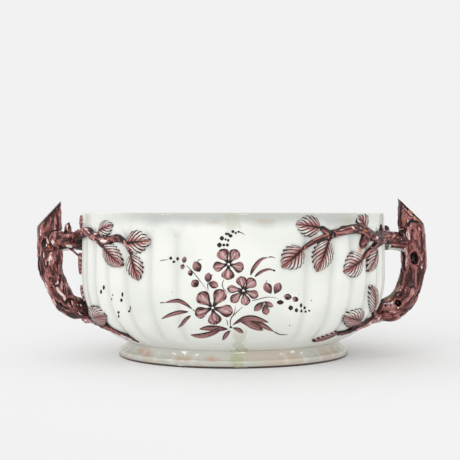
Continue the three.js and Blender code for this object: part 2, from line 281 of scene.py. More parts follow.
@dataclass(frozen=True)
class OvalWall:
    """The outside of the bowl, which every other piece is laid on.

    A turn is in degrees round the plan: 0 at the front, 90 at the right end, -90 at the left.
    """

    rim_height: float = 140.6
    rim_half_length: float = 150.0
    belly_half_length: float = 151.0
    belly_height: float = 85.0
    oval: float = 0.8
    foot_height: float = 15.0
    foot_neck: float = 105.8
    panel_turn: float = 45.0
    ribs_per_end: int = 13
    groove_depth: float = 2.6
    rib_top: float = 131.5
    rib_arch: float = 8.0
    arch_fade: float = 7.0
    foot_fade: float = 16.0

    @property
    def rib_turn(self) -> float:
        """How many degrees one rib takes."""
        return (180 - self.panel_turn) / self.ribs_per_end

    @cached_property
    def line(self) -> np.ndarray:
        """The wall's radius and height, closely spaced from the foot's neck to the rim.

        Returns:
            One row of radius and height for each point.
        """
        neck, widest = (self.foot_neck, self.foot_height), (self.belly_half_length, self.belly_height)
        belly = bezier((neck, (132, 25), (self.belly_half_length + 0.5, 42), widest), 2000)
        top = np.linspace(belly[-1], (self.rim_half_length, self.rim_height), 1000)
        return np.concatenate([belly, top[1:]])

    @cached_property
    def distances(self) -> np.ndarray:
        """How far along the wall each point of its line is."""
        return travelled(self.line)

    def radius_at(self, height: np.ndarray | float) -> np.ndarray:
        """The half length of the wall at a height."""
        return np.interp(height, self.line[:, 1], self.line[:, 0])

    def rise_at(self, height: np.ndarray | float) -> np.ndarray:
        """How far up the wall from the foot's neck it reaches a height."""
        return np.interp(height, self.line[:, 1], self.distances)

    def plan(self, radius: np.ndarray, turn: np.ndarray, height: np.ndarray) -> np.ndarray:
        """The point of the oval at this half length, turn and height.

        Args:
            radius: The half length.
            turn: Degrees round the plan.
            height: The height.

        Returns:
            One row for each point.
        """
        angle = np.radians(turn)
        flat = [radius * np.sin(angle), -self.oval * radius * np.cos(angle), height]
        return np.stack(np.broadcast_arrays(*flat), axis=-1)

    def crown(self, turn: np.ndarray, rise: np.ndarray, lift: np.ndarray | float = 0.0) -> np.ndarray:
        """Points on the crowns of the ribs, or off them.

        Args:
            turn: Degrees round the plan.
            rise: Distance up the wall from the foot's neck.
            lift: Distance off the wall.

        Returns:
            One row of x, y and z for each point.
        """
        at = self._on_line
        low = np.minimum(rise, self.distances[-1] - 1)
        up = at(turn, low + 1) - at(turn, low)
        along = at(turn + 0.5, rise) - at(turn - 0.5, rise)
        return at(turn, rise) + unit(np.cross(along, up)) * np.asarray(lift)[..., None]

    def _on_line(self, turn: np.ndarray, rise: np.ndarray) -> np.ndarray:
        """The point on the crowns at a turn and a distance up the wall.

        Args:
            turn: Degrees round the plan.
            rise: Distance up the wall.

        Returns:
            One row for each point.
        """
        radius = np.interp(rise, self.distances, self.line[:, 0])
        height = np.interp(rise, self.distances, self.line[:, 1])
        return self.plan(radius, turn, height)

    def groove_share(self, turn: np.ndarray) -> np.ndarray:
        """1 in the groove between two ribs, easing to 0 at a crown or inside a panel.

        Args:
            turn: Degrees round the plan.

        Returns:
            One share for each turn.
        """
        folded = np.mod(turn, 180)
        from_panel = np.minimum(folded, 180 - folded) - self.panel_turn / 2
        into_rib = np.mod(from_panel, self.rib_turn)
        nearest = np.minimum(into_rib, self.rib_turn - into_rib)
        to_edge = np.where(from_panel < 0, -from_panel, nearest)
        return (1 - np.minimum(to_edge / (self.rib_turn / 2), 1)) ** 2

    def groove_inset(self, turn: np.ndarray, height: np.ndarray) -> np.ndarray:
        """How far the wall stands back from the crowns at a turn and height.

        Args:
            turn: Degrees round the plan.
            height: The height.

        Returns:
            One distance for each point.
        """
        share = self.groove_share(turn)
        top = self.rib_top - self.rib_arch * (1 - np.sqrt(1 - share))
        at_top = 1 - smoothstep((height - top) / self.arch_fade, -1, 0)
        at_foot = smoothstep(height, self.foot_height, self.foot_height + self.foot_fade)
        return self.groove_depth * share * at_top * at_foot

    def turn_and_radius(self, points: np.ndarray) -> tuple[np.ndarray, np.ndarray]:
        """The turn of each point, and the half length of the oval that it is on."""
        x, y = points[:, 0], -points[:, 1] / self.oval
        return np.degrees(np.arctan2(x, y)), np.hypot(x, y)


WALL = OvalWall()


# Shaders


def srgb(red: int, green: int, blue: int) -> Colour:
    """A colour as a picture shows it, turned into the shader's own numbers.

    Args:
        red: From 0 to 255.
        green: From 0 to 255.
        blue: From 0 to 255.

    Returns:
        The colour as Blender holds it, opaque.
    """
    shares = [value / 255 for value in (red, green, blue)]
    linear = [s / 12.92 if s <= 0.04045 else ((s + 0.055) / 1.055) ** 2.4 for s in shares]
    return (*linear, 1.0)


class Value:
    """A number, vector or colour in a tree of shader nodes, from which others are made."""

    def __init__(self, nodes: "Nodes", socket: Socket) -> None:
        """Holds the socket that it comes out of."""
        self.nodes, self.socket = nodes, socket

    def __add__(self, other: object) -> "Value":
        """The sum of two numbers."""
        return self.nodes.maths("ADD", self, other)

    def __sub__(self, other: object) -> "Value":
        """The difference of two numbers."""
        return self.nodes.maths("SUBTRACT", self, other)

    def __mul__(self, other: object) -> "Value":
        """The product of two numbers."""
        return self.nodes.maths("MULTIPLY", self, other)

    def __abs__(self) -> "Value":
        """The number without its sign."""
        return self.nodes.maths("ABSOLUTE", self)

    def most(self, other: object) -> "Value":
        """The larger of two numbers."""
        return self.nodes.maths("MAXIMUM", self, other)

    def swing(self, width: float) -> "Value":
        """A number from 0 to 1 turned into one from minus to plus half the width."""
        return (self - 0.5) * width

    def ease(self, low: float, high: float, start: float = 0.0, end: float = 1.0) -> "Value":
        """Eases from start where the number is low to end where it is high."""
        inputs = {"Value": self, "From Min": low, "From Max": high, "To Min": start, "To Max": end}
        return self.nodes.add("MapRange", "Result", inputs, interpolation_type="SMOOTHSTEP")

    def parts(self) -> list["Value"]:
        """A vector's x, y and z."""
        node = self.nodes.add("SeparateXYZ", 0, {"Vector": self}).socket.node
        return [Value(self.nodes, socket) for socket in node.outputs]

    def vector(self, operation: str, other: Place, output: int | str = 0) -> "Value":
        """One step of arithmetic on vectors."""
        return self.nodes.add("VectorMath", output, {0: self, 1: other}, operation=operation)

    def stretch(self, *scale: float) -> "Value":
        """A place scaled along each axis."""
        return self.nodes.add("Mapping", "Vector", {"Vector": self, "Scale": scale})

    def grain(self, scale: float, detail: float = 2.0, distortion: float = 0.0) -> "Value":
        """Cloudy noise from 0 to 1 at a place."""
        inputs = {"Vector": self, "Scale": scale, "Detail": detail, "Distortion": distortion}
        return self.nodes.add("TexNoise", "Fac", inputs)

    def under(self, over: object, share: object) -> "Value":
        """The colour with a share of another over it."""
        return self.nodes.blend(share, self, over)


class Nodes:
    """A tree of shader nodes, put together step by step."""

    def __init__(self, tree: bpy.types.NodeTree) -> None:
        """Starts on a tree."""
        self.tree = tree

    def add(self, kind: str, output: int | str, inputs: dict | None = None, **settings: object) -> Value:
        """Adds a node.

        Args:
            kind: The node's type, without its usual beginning.
            output: The name or number of the output to go on from.
            inputs: For each input, by name or number, a value or what it is set to.
            settings: The node's own settings.

        Returns:
            What comes out of it.
        """
        node = self.tree.nodes.new(f"ShaderNode{kind}")
        for key, value in settings.items():
            setattr(node, key, value)
        for key, value in (inputs or {}).items():
            self.feed(node.inputs[key], value)
        return Value(self, node.outputs[output])

    def feed(self, socket: Socket, value: object) -> None:
        """Links an input to a value of the tree, or sets it.

        Args:
            socket: The input.
            value: A value of the tree, or a number, vector or colour.
        """
        if isinstance(value, Value):
            self.tree.links.new(value.socket, socket)
        else:
            socket.default_value = value

    def maths(self, operation: str, first: object, second: object = 0.0) -> Value:
        """One step of arithmetic."""
        return self.add("Math", 0, {0: first, 1: second}, operation=operation)

    def place(self) -> Value:
        """The point on the object, in metres."""
        return self.add("TexCoord", "Object")

    def stored(self, name: str, output: str = "Fac") -> Value:
        """A number or vector stored at the vertices."""
        return self.add("Attribute", output, attribute_name=name)

    def blend(self, share: object, under: object, over: object) -> Value:
        """A colour between two, by the share of the second."""
        return self.add("Mix", 2, {0: share, 6: under, 7: over}, data_type="RGBA")

    def ramp(self, value: object, stops: Sequence[tuple[float, Colour]]) -> Value:
        """The colour at a value, between the stops given from low to high.

        Args:
            value: The number that picks the colour.
            stops: Each a value and a colour, from -1 to 1.

        Returns:
            The colour.
        """
        share = self.add("MapRange", "Result", {"Value": value, "From Min": -1.0})
        colour = self.add("ValToRGB", "Color", {0: share})
        marks = colour.socket.node.color_ramp.elements
        while len(marks) < len(stops):
            marks.new(0.5)
        for mark, (at, tone) in zip(marks, stops):
            mark.position = (at + 1) / 2
            mark.color = tone
        return colour


class Shader(Nodes):
    """A material, put together step by step."""

    def __init__(self, name: str) -> None:
        """Starts a material with one plain shader.

        Args:
            name: The material's name.
        """
        self.material = bpy.data.materials.new(name)
        self.material.use_nodes = True
        super().__init__(self.material.node_tree)
        self.surface = self.tree.nodes["Principled BSDF"]

    def bump(self, height: Value, strength: float, distance: float) -> None:
        """Roughens the surface by a height, with distance in metres."""
        inputs = {"Height": height, "Strength": strength, "Distance": distance}
        self.feed(self.surface.inputs["Normal"], self.add("Bump", "Normal", inputs))

    def paint(self, colour: Value, roughness: object, gloss: float = 0.5) -> Finish:
        """Gives the surface its colour, its roughness and how strongly it mirrors.

        Args:
            colour: The colour.
            roughness: The roughness.
            gloss: How strongly it mirrors.

        Returns:
            The material.
        """
        looks = {"Base Color": colour, "Roughness": roughness, "Specular IOR Level": gloss}
        for name, value in looks.items():
            self.feed(self.surface.inputs[name], value)
        return self.material


@dataclass(frozen=True)
class Stain:
    """A soft patch of another colour in the glaze, round a point, in millimetres."""

    at: Place
    reach: Place
    share: float
    colour: Colour

    def shown(self, place: Value) -> Value:
        """How much of it shows at a place.

        Args:
            place: The place, in metres.

        Returns:
            A share from 0 to the stain's own.
        """
        centre = tuple(value * MM for value in self.at)
        scale = tuple(1 / (value * MM) for value in self.reach)
        near = place.vector("SUBTRACT", centre).vector("MULTIPLY", scale)
        gap = near.vector("LENGTH", (0, 0, 0), "Value")
        return (gap + place.grain(150, 3.0) * 1.2).ease(1.5, 0.7, 0.0, self.share)


BUFF = srgb(186, 166, 144)
RUST = srgb(192, 138, 104)


@dataclass(frozen=True)
class TinGlaze:
    """White tin glaze: cool and milky, thin and brown at edges, greenish where it has run, with painted shade
    under the rim.
    """

    body: Colour = srgb(229, 230, 225)
    cool: Colour = srgb(221, 223, 217)
    drip: Colour = srgb(174, 176, 146)
    # painted shade: the grey of the band under the rim
    rim: Colour = srgb(170, 173, 169)
    foot: Colour = srgb(186, 187, 177)
    foot_warm: Colour = srgb(186, 174, 158)
    pooled: Colour = srgb(206, 208, 202)
    thin: Colour = srgb(186, 168, 148)
    speck: Colour = srgb(120, 96, 78)
    clay: Colour = srgb(58, 40, 32)
    roughness: float = 0.13
    stains: tuple[Stain, ...] = (
        Stain((-25, -118, 133), (13, 30, 3.5), 0.35, BUFF),
        Stain((19, -119, 133.5), (14, 30, 3.5), 0.42, BUFF),
        Stain((112, -84, 106), (6, 20, 9), 0.85, RUST),
        Stain((66, -108, 96), (4, 20, 12), 0.35, RUST),
        Stain((96, -92, 134), (14, 30, 5), 0.5, srgb(176, 172, 150)),
        Stain((-88, -60, 10), (14, 40, 5), 0.6, RUST),
        Stain((-52, -85, 8), (22, 40, 4), 0.55, RUST),
        Stain((-26, -90, 8), (14, 40, 4), 0.55, RUST),
        Stain((46, -84, 8), (22, 40, 4), 0.4, BUFF),
        Stain((92, -56, 8), (16, 40, 5), 0.5, BUFF),
    )

    def ground(self, shader: Shader) -> Value:
        """The colour of the glaze at any place, which painted pieces share with the bowl.

        Args:
            shader: The material that is being put together.

        Returns:
            The colour.
        """
        at = shader.place()
        x, _, z = at.parts()
        colour = shader.blend(at.grain(22).ease(0.38, 0.66), self.body, self.cool)
        # painted shade: a grey band under the rim, strongest across the front, weaker at the ends and weakest
        # at the left
        rim_shade_share = (z + at.grain(35).swing(0.012)).ease(0.126, 0.137, 0.0, 0.8)
        sides = x.ease(-0.14, -0.07, 0.15, 1.0) * x.ease(0.09, 0.13, 1.0, 0.4)
        colour = colour.under(self.rim, rim_shade_share * sides)
        smudged = shader.blend(at.grain(30, 3.0).ease(0.4, 0.62), self.foot, self.foot_warm)
        colour = colour.under(smudged, z.ease(0.0165, 0.0135, 0.0, 0.9))
        colour = colour.under(self.drip, self.run(at))
        for stain in self.stains:
            colour = colour.under(stain.colour, stain.shown(at))
        return colour

    def run(self, at: Value) -> Value:
        """How much of the greenish run down the front panel shows at a place.

        Args:
            at: The place.

        Returns:
            A share from 0 to 1.
        """
        x, y, z = at.parts()
        ragged = at.stretch(1.0, 0.4, 0.45).grain(190, 3.0)
        middle = z.ease(0.02, 0.11, -0.002, -0.0095)
        band = abs(x + ragged.swing(0.02) - middle).ease(0.0075, 0.0035)
        top = z.ease(0.117, 0.130, 0.0, 0.4)
        low = z.ease(0.042, 0.032, 0.0, 0.45) + z.ease(0.02, 0.016, 0.0, 0.35)
        return band * top.most(low) * y.ease(-0.04, -0.07)

    def material(self) -> Finish:
        """The finish of the bowl and its foot.

        Returns:
            The material.
        """
        shader = Shader("white_tin_glaze")
        at = shader.place()
        colour = self.ground(shader).under(self.pooled, shader.stored("groove").ease(0.2, 1.0, 0.0, 0.55))
        colour = colour.under(self.thin, shader.stored("edge") * at.grain(90).ease(0.45, 0.62))
        cells = shader.add("TexVoronoi", "Distance", {"Vector": at, "Scale": 150.0})
        dots = at.grain(60).ease(0.6, 0.63) * cells.ease(0.12, 0.07, 0.0, 0.6)
        colour = colour.under(self.speck, dots).under(self.clay, shader.stored("clay"))
        shader.bump(at.grain(120, 1.0), 0.2, 0.0008)
        return shader.paint(colour, self.roughness)


@dataclass(frozen=True)
class BarkGlaze:
    """Manganese purple laid over the glaze in touches, with painted shade in creases and painted highlights
    on ridges.
    """

    tones: tuple[tuple[float, Colour], ...] = (
        (-1.0, srgb(12, 7, 7)),
        (-0.5, srgb(42, 22, 21)),
        (0.0, srgb(98, 48, 46)),
        (0.5, srgb(166, 104, 100)),
        (1.0, srgb(246, 232, 229)),
    )
    # the dark band on the flanks against the wall: partly the brush's outline, partly painted shade
    outline_and_shade_tone: float = -0.65
    ochre: Colour = srgb(172, 104, 52)
    olive: Colour = srgb(126, 117, 92)
    roughness: float = 0.11
    outline_and_shade_roughness: float = 0.5
    gloss: float = 0.34

    def material(self, glaze: TinGlaze) -> Finish:
        """The finish of the branches.

        Args:
            glaze: The glaze that shows where no colour was laid.

        Returns:
            The material.
        """
        shader = Shader("manganese_bark")
        along = shader.stored("bark", "Vector")
        streak = along.stretch(0.30, 0.30, 0.07).grain(1.0, 3.0, 0.9)
        patch = along.stretch(0.12, 0.12, 0.06).grain(1.0, 2.0, 0.4)
        fleck = shader.place().grain(900, 1.0)
        # painted light and shade: the bark is lighter where it stands up and darker in its creases
        tone = streak.swing(3.4) + patch.swing(2.4) + 0.02 + shader.stored("height") * 0.3 + fleck.swing(0.9)
        laid = (shader.stored("laid") + fleck.swing(0.3)).ease(0.2, 0.75)
        shade = shader.stored("shade") + streak.swing(0.8)
        colour = shader.ramp(tone + laid * (shade - tone), self.tones)
        covers = {"olive": self.olive, "bare": glaze.ground(shader), "ochre": self.ochre}
        for name, over in covers.items():
            colour = colour.under(over, (shader.stored(name) + streak.swing(0.9)).ease(0.3, 0.7))
        # a dark band on the flanks that lie against the wall: the brush's outline and painted shade
        outline = (shader.stored("outline_and_shade") + streak * 0.6).ease(0.75, 1.0)
        colour = colour.under(shader.ramp(self.outline_and_shade_tone, self.tones), outline * 0.8)
        shader.bump(along.stretch(0.9, 0.9, 0.3).grain(1.0, 2.0), 0.42, 0.0008)
        matt = outline.ease(0.0, 1.0, self.roughness, self.outline_and_shade_roughness)
        return shader.paint(colour, matt, self.gloss)


@dataclass(frozen=True)
class LeafGlaze:
    """Manganese strokes drawn from a leaf's midrib out to its edge, over a wash."""

    stroke: Colour = srgb(76, 32, 31)
    vein: Colour = srgb(30, 13, 13)
    wash: Colour = srgb(160, 92, 88)
    ochre: Colour = srgb(190, 122, 66)
    roughness: float = 0.12
    gloss: float = 0.4

    def material(self, glaze: TinGlaze) -> Finish:
        """The finish of the leaves.

        Args:
            glaze: The glaze that shows between the strokes.

        Returns:
            The material.
        """
        shader = Shader("manganese_leaf")
        across, along, beat = shader.stored("leaf", "Vector").parts()
        at = shader.place()
        height = at.parts()[2]
        out = abs(across)
        cloud = at.grain(75)
        wave = shader.maths("SINE", beat + at.grain(230) * 2.2)
        faint = self.faint(at)
        bare = glaze.ground(shader)
        colour = bare.under(self.wash, cloud.ease(0.30, 0.48, 0.8, 1.0))
        thin = cloud.ease(0.62, 0.42, 0.45, 1.0) * out.ease(0.15, 0.55)
        gap = wave.ease(0.3, -0.3) * thin * height.ease(0.038, 0.05, 0.4, 1.0)
        colour = colour.under(shader.blend(0.86, self.wash, bare), gap * faint)
        comb = (wave - out.ease(0.1, 0.9, 0.12, -0.25)).ease(-0.05, 0.25) * out.ease(0.04, 0.2) * faint
        inked = shader.blend(out.ease(0.4, 0.8), self.stroke, self.vein)
        colour = colour.under(inked, comb * at.grain(140).ease(0.30, 0.42, 0.8, 1.0))
        rib = (out - along.ease(0.0, 0.95, 0.15, 0.04)).ease(0.06, -0.03)
        ends = out.ease(0.84, 0.95) * wave.ease(-0.7, 0.2)
        broken = at.grain(120).ease(0.40, 0.54, 0.1, 1.0)
        colour = colour.under(self.vein, rib).under(self.vein, ends * (broken * faint))
        tip = at.grain(45).ease(0.66, 0.72) * along.ease(0.7, 0.95, 0.1, 0.8)
        shader.bump(at.grain(500, 1.0), 0.15, 0.0005)
        return shader.paint(colour.under(self.ochre, tip), self.roughness, self.gloss)

    def faint(self, at: Value) -> Value:
        """How strong the strokes are: weaker on the leaves behind the left handle, and their twins.

        Args:
            at: The place.

        Returns:
            A share from 0.4 to 1.
        """
        x, y, _ = at.parts()
        share = (x * y).ease(0.0, 0.0005) * abs(x).ease(0.1425, 0.147)
        return share.ease(0.0, 1.0, 1.0, 0.4)


@dataclass(frozen=True)
class BrushPaint:
    """Manganese brush strokes on the wall: dark at the edge, streaked, with a pale middle."""

    name: str
    line: Colour
    fill: Colour
    light: Colour
    line_from: float
    light_share: float = 0.85
    pale_share: float = 0.0
    lean: float = 0.2
    dark_base: float = 0.34
    roughness: float = 0.13
    gloss: float = 0.35

    def material(self, glaze: TinGlaze) -> Finish:
        """The finish of one kind of stroke.

        Args:
            glaze: The glaze that shows through where the colour is thin.

        Returns:
            The material.
        """
        shader = Shader(self.name)
        place_on_stroke = shader.stored("stroke", "Vector")
        across, along, _ = place_on_stroke.parts()
        streak = place_on_stroke.stretch(4.5, 0.9, 3.0).grain(1.0, 3.0)
        cloud = shader.place().grain(300, 2.0)
        colour = shader.blend(streak.ease(0.42, 0.60, 0.0, self.light_share), self.fill, self.light)
        pale = abs(across + cloud.swing(0.4)).ease(0.2, 0.06) * along.ease(0.92, 0.7, 0.0, self.pale_share)
        colour = colour.under(shader.blend(0.45, self.light, glaze.ground(shader)), pale)
        base = (along - streak.swing(0.9)).ease(self.dark_base, 0.3 * self.dark_base, 0.0, 0.85)
        colour = colour.under(self.line, base)
        ragged = abs(across).most(along.ease(0.80, 1.0)) + across * self.lean + cloud.swing(1.3)
        rim = ragged.ease(self.line_from, self.line_from + 0.15, 0.0, 0.95)
        return shader.paint(colour.under(self.line, rim), self.roughness, self.gloss)


# Turned pieces


@dataclass
class TurnedPiece:
    """A piece turned from a profile on the oval plan."""

    columns: int = 624

    def draw_profile(self, profile: np.ndarray) -> Piece:
        """Draws a profile edge by edge in the plane of the bowl's long axis.

        Args:
            profile: One row of radius and height for each point.

        Returns:
            The wire.
        """
        bpy.ops.object.select_all(action="DESELECT")
        bpy.ops.mesh.primitive_plane_add(size=1)
        wire = bpy.context.object
        with editing(wire):
            bpy.ops.mesh.merge(type="CENTER")
            bpy.ops.transform.translate(value=(profile[0, 0], 0, profile[0, 1]))
            for step in np.diff(profile, axis=0):
                move = {"value": (step[0], 0, step[1])}
                bpy.ops.mesh.extrude_region_move(TRANSFORM_OT_translate=move)
        return wire

    def turn(self, wire: Piece) -> None:
        """Spins a profile into a closed body and narrows it to the oval.

        Args:
            wire: The profile.
        """
        with editing(wire):
            bpy.ops.mesh.spin(steps=self.columns, angle=2 * math.pi, center=(0, 0, 0), axis=(0, 0, 1))
            bpy.ops.mesh.select_all(action="SELECT")
            bpy.ops.mesh.remove_doubles(threshold=0.002)
            bpy.ops.mesh.normals_make_consistent(inside=False)
            bpy.ops.transform.resize(value=(1, WALL.oval, 1))

    def press(self, piece: Piece, inset: np.ndarray) -> None:
        """Moves every point of a turned body in from the oval by its own inset.

        Args:
            piece: The turned body.
            inset: One distance for each point.
        """
        points = points_of(piece)
        turn, radius = WALL.turn_and_radius(points)
        angle = np.radians(turn)
        points[:, 0] = (radius - inset) * np.sin(angle)
        points[:, 1] = -(WALL.oval * radius - inset) * np.cos(angle)
        on_axis = radius < 1.0
        points[on_axis, :2] = 0.0
        move_points(piece, points)


def arc(centre: tuple[float, float], radius: float, start: float, end: float, steps: int = 5) -> np.ndarray:
    """Points round an arc from one angle in degrees to another."""
    angles = np.radians(np.linspace(start, end, steps))
    return np.array(centre) + radius * np.stack([np.cos(angles), np.sin(angles)], axis=1)


@dataclass
class Bowl(TurnedPiece):
    """The oval bowl: a smooth panel at front and back, and upright ribs round each end."""

    thickness: float = 5.5
    lip_round: float = 1.2
    floor: float = 7.0
    inner_share: float = 0.5
    foot_bore: float = 99.0

    def profile(self) -> np.ndarray:
        """The bowl's section, from the middle underneath, over the rim, to the middle inside.

        Returns:
            One row of radius and height for each point.
        """
        base = WALL.foot_height
        under = [(0, base - 1.5), (40, base - 0.9), (self.foot_bore - 8, base)]
        fine_from, fine_to = WALL.rise_at(112), WALL.rise_at(138.6)
        rises = np.concatenate([np.arange(0, fine_from, 2.2), np.arange(fine_from, fine_to, 1.0)])
        wall = between(rises, WALL.distances, WALL.line)
        top = WALL.rim_height - self.lip_round
        outer = arc((WALL.rim_half_length - self.lip_round, top), self.lip_round, 0, 90)
        inside = WALL.rim_half_length - self.thickness
        inner = arc((inside + self.lip_round, top), self.lip_round, 90, 180)
        side = WALL.belly_half_length - self.thickness
        low = base + self.floor
        down = [(side - 0.3, height) for height in np.arange(WALL.rib_top + 3, WALL.belly_height, -2.0)]
        hollow = bezier(((side, WALL.belly_height), (side, 46), (126, low + 2), (96, low)), 40)
        middle = [(70, low - 0.3), (35, low - 0.8), (0, low - 1)]
        return np.concatenate([under, wall, outer, inner, down, hollow, middle])

    def build(self) -> Piece:
        """Turns the bowl and presses its ribs.

        Returns:
            The bowl, with its grooves, bare edge and clay stored at the vertices.
        """
        bowl = self.draw_profile(self.profile())
        self.turn(bowl)
        points = points_of(bowl)
        turn, radius = WALL.turn_and_radius(points)
        height = points[:, 2]
        depth = np.clip((WALL.radius_at(height) - radius) / self.thickness, 0, 1)
        share = 1 - (1 - self.inner_share) * depth
        inset = WALL.groove_inset(turn, height)
        self.press(bowl, share * inset)
        note(bowl, "groove", inset / WALL.groove_depth)
        note(bowl, "edge", 0.55 * smoothstep(height, WALL.rim_height - 1.0, WALL.rim_height - 0.1))
        note(bowl, "clay", 0.9 * (height < WALL.foot_height - 0.1))
        return bowl


@dataclass
class FootRing(TurnedPiece):
    """The low foot: a hollow curve under the bowl, a bead, and a bare edge that it stands on."""

    bore: float = 99.0
    half_length: float = 114.0
    scallop: float = 0.9

    def profile(self) -> np.ndarray:
        """The ring's section, closed on itself.

        Returns:
            One row of radius and height for each point.
        """
        top = WALL.foot_height + 0.2
        neck = WALL.foot_neck
        out = self.half_length
        curve = bezier(((neck, top), (neck + 0.6, 11.4), (neck + 3, 8.6), (out - 2.6, 7.4)), 12)
        bead = arc((out - 2.6, 4.9), 2.5, 80, -35, 12)
        edge = [(out - 1, 2.4), (out, 1.5), (out - 0.2, 0.5), (out - 1.2, 0)]
        under = [(self.bore + 8, 0), (self.bore + 5.4, 0.3), (self.bore + 4.6, 1.6), (self.bore, top)]
        return np.concatenate([curve, bead, edge, under, curve[:1]])

    def build(self) -> Piece:
        """Turns the ring and presses shallow scallops under the ribs.

        Returns:
            The ring, with its grooves, bare edge and clay stored at the vertices.
        """
        ring = self.draw_profile(self.profile())
        self.turn(ring)
        points = points_of(ring)
        turn, radius = WALL.turn_and_radius(points)
        height = points[:, 2]
        band = smoothstep(height, 1.5, 5.0) * (1 - smoothstep(height, 10.5, 14.0))
        outside = radius > WALL.foot_neck - 1.0
        share = WALL.groove_share(turn) * band * outside
        self.press(ring, self.scallop * share)
        note(ring, "groove", share)
        note(ring, "edge", 0.5 * smoothstep(height, 3.0, 1.5) * outside)
        note(ring, "clay", np.where(outside, smoothstep(-height, -2.6, -1.5), 0.85))
        return ring


@dataclass(frozen=True)
class Camera:
    """The photograph's camera, in millimetres and degrees."""

    place: Place = (-58.6, -898.1, 141.5)
    down: float = 1.15
    left: float = -3.5
    lens: float = 70.43

    def build(self) -> None:
        """Sets the camera up and makes it the scene's own."""
        turned = (math.radians(90 - self.down), 0, math.radians(self.left))
        bpy.ops.object.camera_add(location=Vector(self.place) * MM, rotation=turned)
        camera = bpy.context.object
        camera.data.lens = self.lens
        bpy.context.scene.camera = camera


CAMERA = Camera()


# Branches


@dataclass(frozen=True)
class Trail:
    """Closely spaced places along the middle of a branch."""

    centres: np.ndarray
    radii: np.ndarray
    along: np.ndarray
    normals: np.ndarray
    sides: np.ndarray
    distances: np.ndarray


@dataclass(frozen=True)
class Limb:
    """A branch through stations, each an x, y and z and a radius."""

    places: np.ndarray
    radii: np.ndarray

    def curve_points(self, per_span: int) -> np.ndarray:
        """Points on the smooth curve through the stations, as the CAD source draws it.

        Args:
            per_span: How many from one station to the next.

        Returns:
            One row for each point.
        """
        places = self.places
        before, after = 2 * places[:1] - places[1:2], 2 * places[-1:] - places[-2:-1]
        spread = np.concatenate([before, places, after])
        t = np.linspace(0, 1, per_span, endpoint=False)[:, None]
        spans = []
        for first, start, end, last in zip(spread, spread[1:], spread[2:], spread[3:]):
            steps = (start - first, end - start, last - end)
            before, during, after = (np.sqrt(np.linalg.norm(step)) for step in steps)
            leave = (start - first) / before - (end - first) / (before + during) + (end - start) / during
            arrive = (end - start) / during - (last - start) / (during + after) + (last - end) / after
            leave, arrive = leave * during, arrive * during
            bent = 3 * (end - start) - 2 * leave - arrive
            spans.append(start + leave * t + bent * t**2 + (2 * (start - end) + leave + arrive) * t**3)
        return np.concatenate([*spans, places[-1:]])

    def trail(self, per_span: int = 8) -> Trail:
        """Places along the branch, with the way it runs and two directions across it.

        Args:
            per_span: How many places from one station to the next.

        Returns:
            The places.
        """
        centres = self.curve_points(per_span)
        share = np.linspace(0, len(self.radii) - 1, len(centres))
        radii = np.interp(share, np.arange(len(self.radii)), self.radii)
        along = unit(np.gradient(centres, axis=0))
        normal = np.array(FRONT_NORMAL)
        normals = []
        for way in along:
            normal = unit(normal - normal.dot(way) * way)
            normals.append(normal)
        sides = np.cross(normals, along)
        return Trail(centres, radii, along, np.array(normals), sides, travelled(centres))

    def sweep(self) -> Piece:
        """A round, closed body along the branch.

        Returns:
            The body.
        """
        trail = self.trail()
        curve = bpy.data.curves.new("branch", "CURVE")
        round_body = {"dimensions": "3D", "bevel_depth": 1, "bevel_resolution": 5, "use_fill_caps": True}
        for name, value in round_body.items():
            setattr(curve, name, value)
        tip = trail.centres[-1] + trail.along[-1] * trail.radii[-1] * 0.45
        centres = np.concatenate([trail.centres, [tip]])
        radii = np.concatenate([trail.radii, [trail.radii[-1] * 0.6]])
        spline = curve.splines.new("POLY")
        spline.points.add(len(centres) - 1)
        spline.points.foreach_set("co", np.column_stack([centres, np.ones(len(centres))]).ravel())
        spline.points.foreach_set("radius", radii)
        body = bpy.data.objects.new("branch", curve)
        bpy.context.collection.objects.link(body)
        pick(body)
        bpy.ops.object.convert(target="MESH")
        return bpy.context.object


@dataclass(frozen=True)
class Scar:
    """The mark of a lopped twig: a raised ring round a hollow, with a painted highlight on the ring and
    painted shade in the hollow.
    """

    at: Place
    facing: Place
    width: float
    height: float


class Paint(Enum):
    """What a touch lays, its tone from black at -1 to white at 1, and how far it stands up."""

    # The dark paints lay manganese and also painted shade in creases, in hollows and under the arms.
    INK = ("laid", -0.95, -0.7)
    SHADE = ("laid", -0.42, -0.3)
    # The light paints lay pink and pale glaze and also painted highlights and glints on ridges and knots.
    TINT = ("laid", 0.4, 0.35)
    PALE = ("laid", 0.85, 0.3)
    OCHRE = ("ochre", 0.0, 0.1)
    OLIVE = ("olive", 0.0, 0.0)
    GLAZE = ("bare", 0.0, 0.0)

    @property
    def cover(self) -> str:
        """The name its share is stored under."""
        return self.value[0]


# The dark touches in these tables are partly painted shade.
# The light touches in these tables are partly painted highlights and glints.
# For each paint, touches seen from the front: half a width, then reach and height along its path.
Touches = dict[Paint, Stations]


def touch_weight(touch: Sequence[float], places: np.ndarray) -> np.ndarray:
    """How strongly a touch shows at each place.

    Args:
        touch: Half its width, then the reach and height of each point of its path.
        places: Rows of reach and height.

    Returns:
        Shares from 0 to 1.
    """
    corners = np.array(touch[1:], dtype=float).reshape(-1, 2)
    gap = np.linalg.norm(places - corners[0], axis=1)
    for start, end in zip(corners, corners[1:]):
        run = end - start
        share = np.clip(((places - start) @ run) / (run @ run), 0, 1)
        gap = np.minimum(gap, np.linalg.norm(places - start - share[:, None] * run, axis=1))
    return smoothstep(gap / touch[0], 1.3, 0.5)


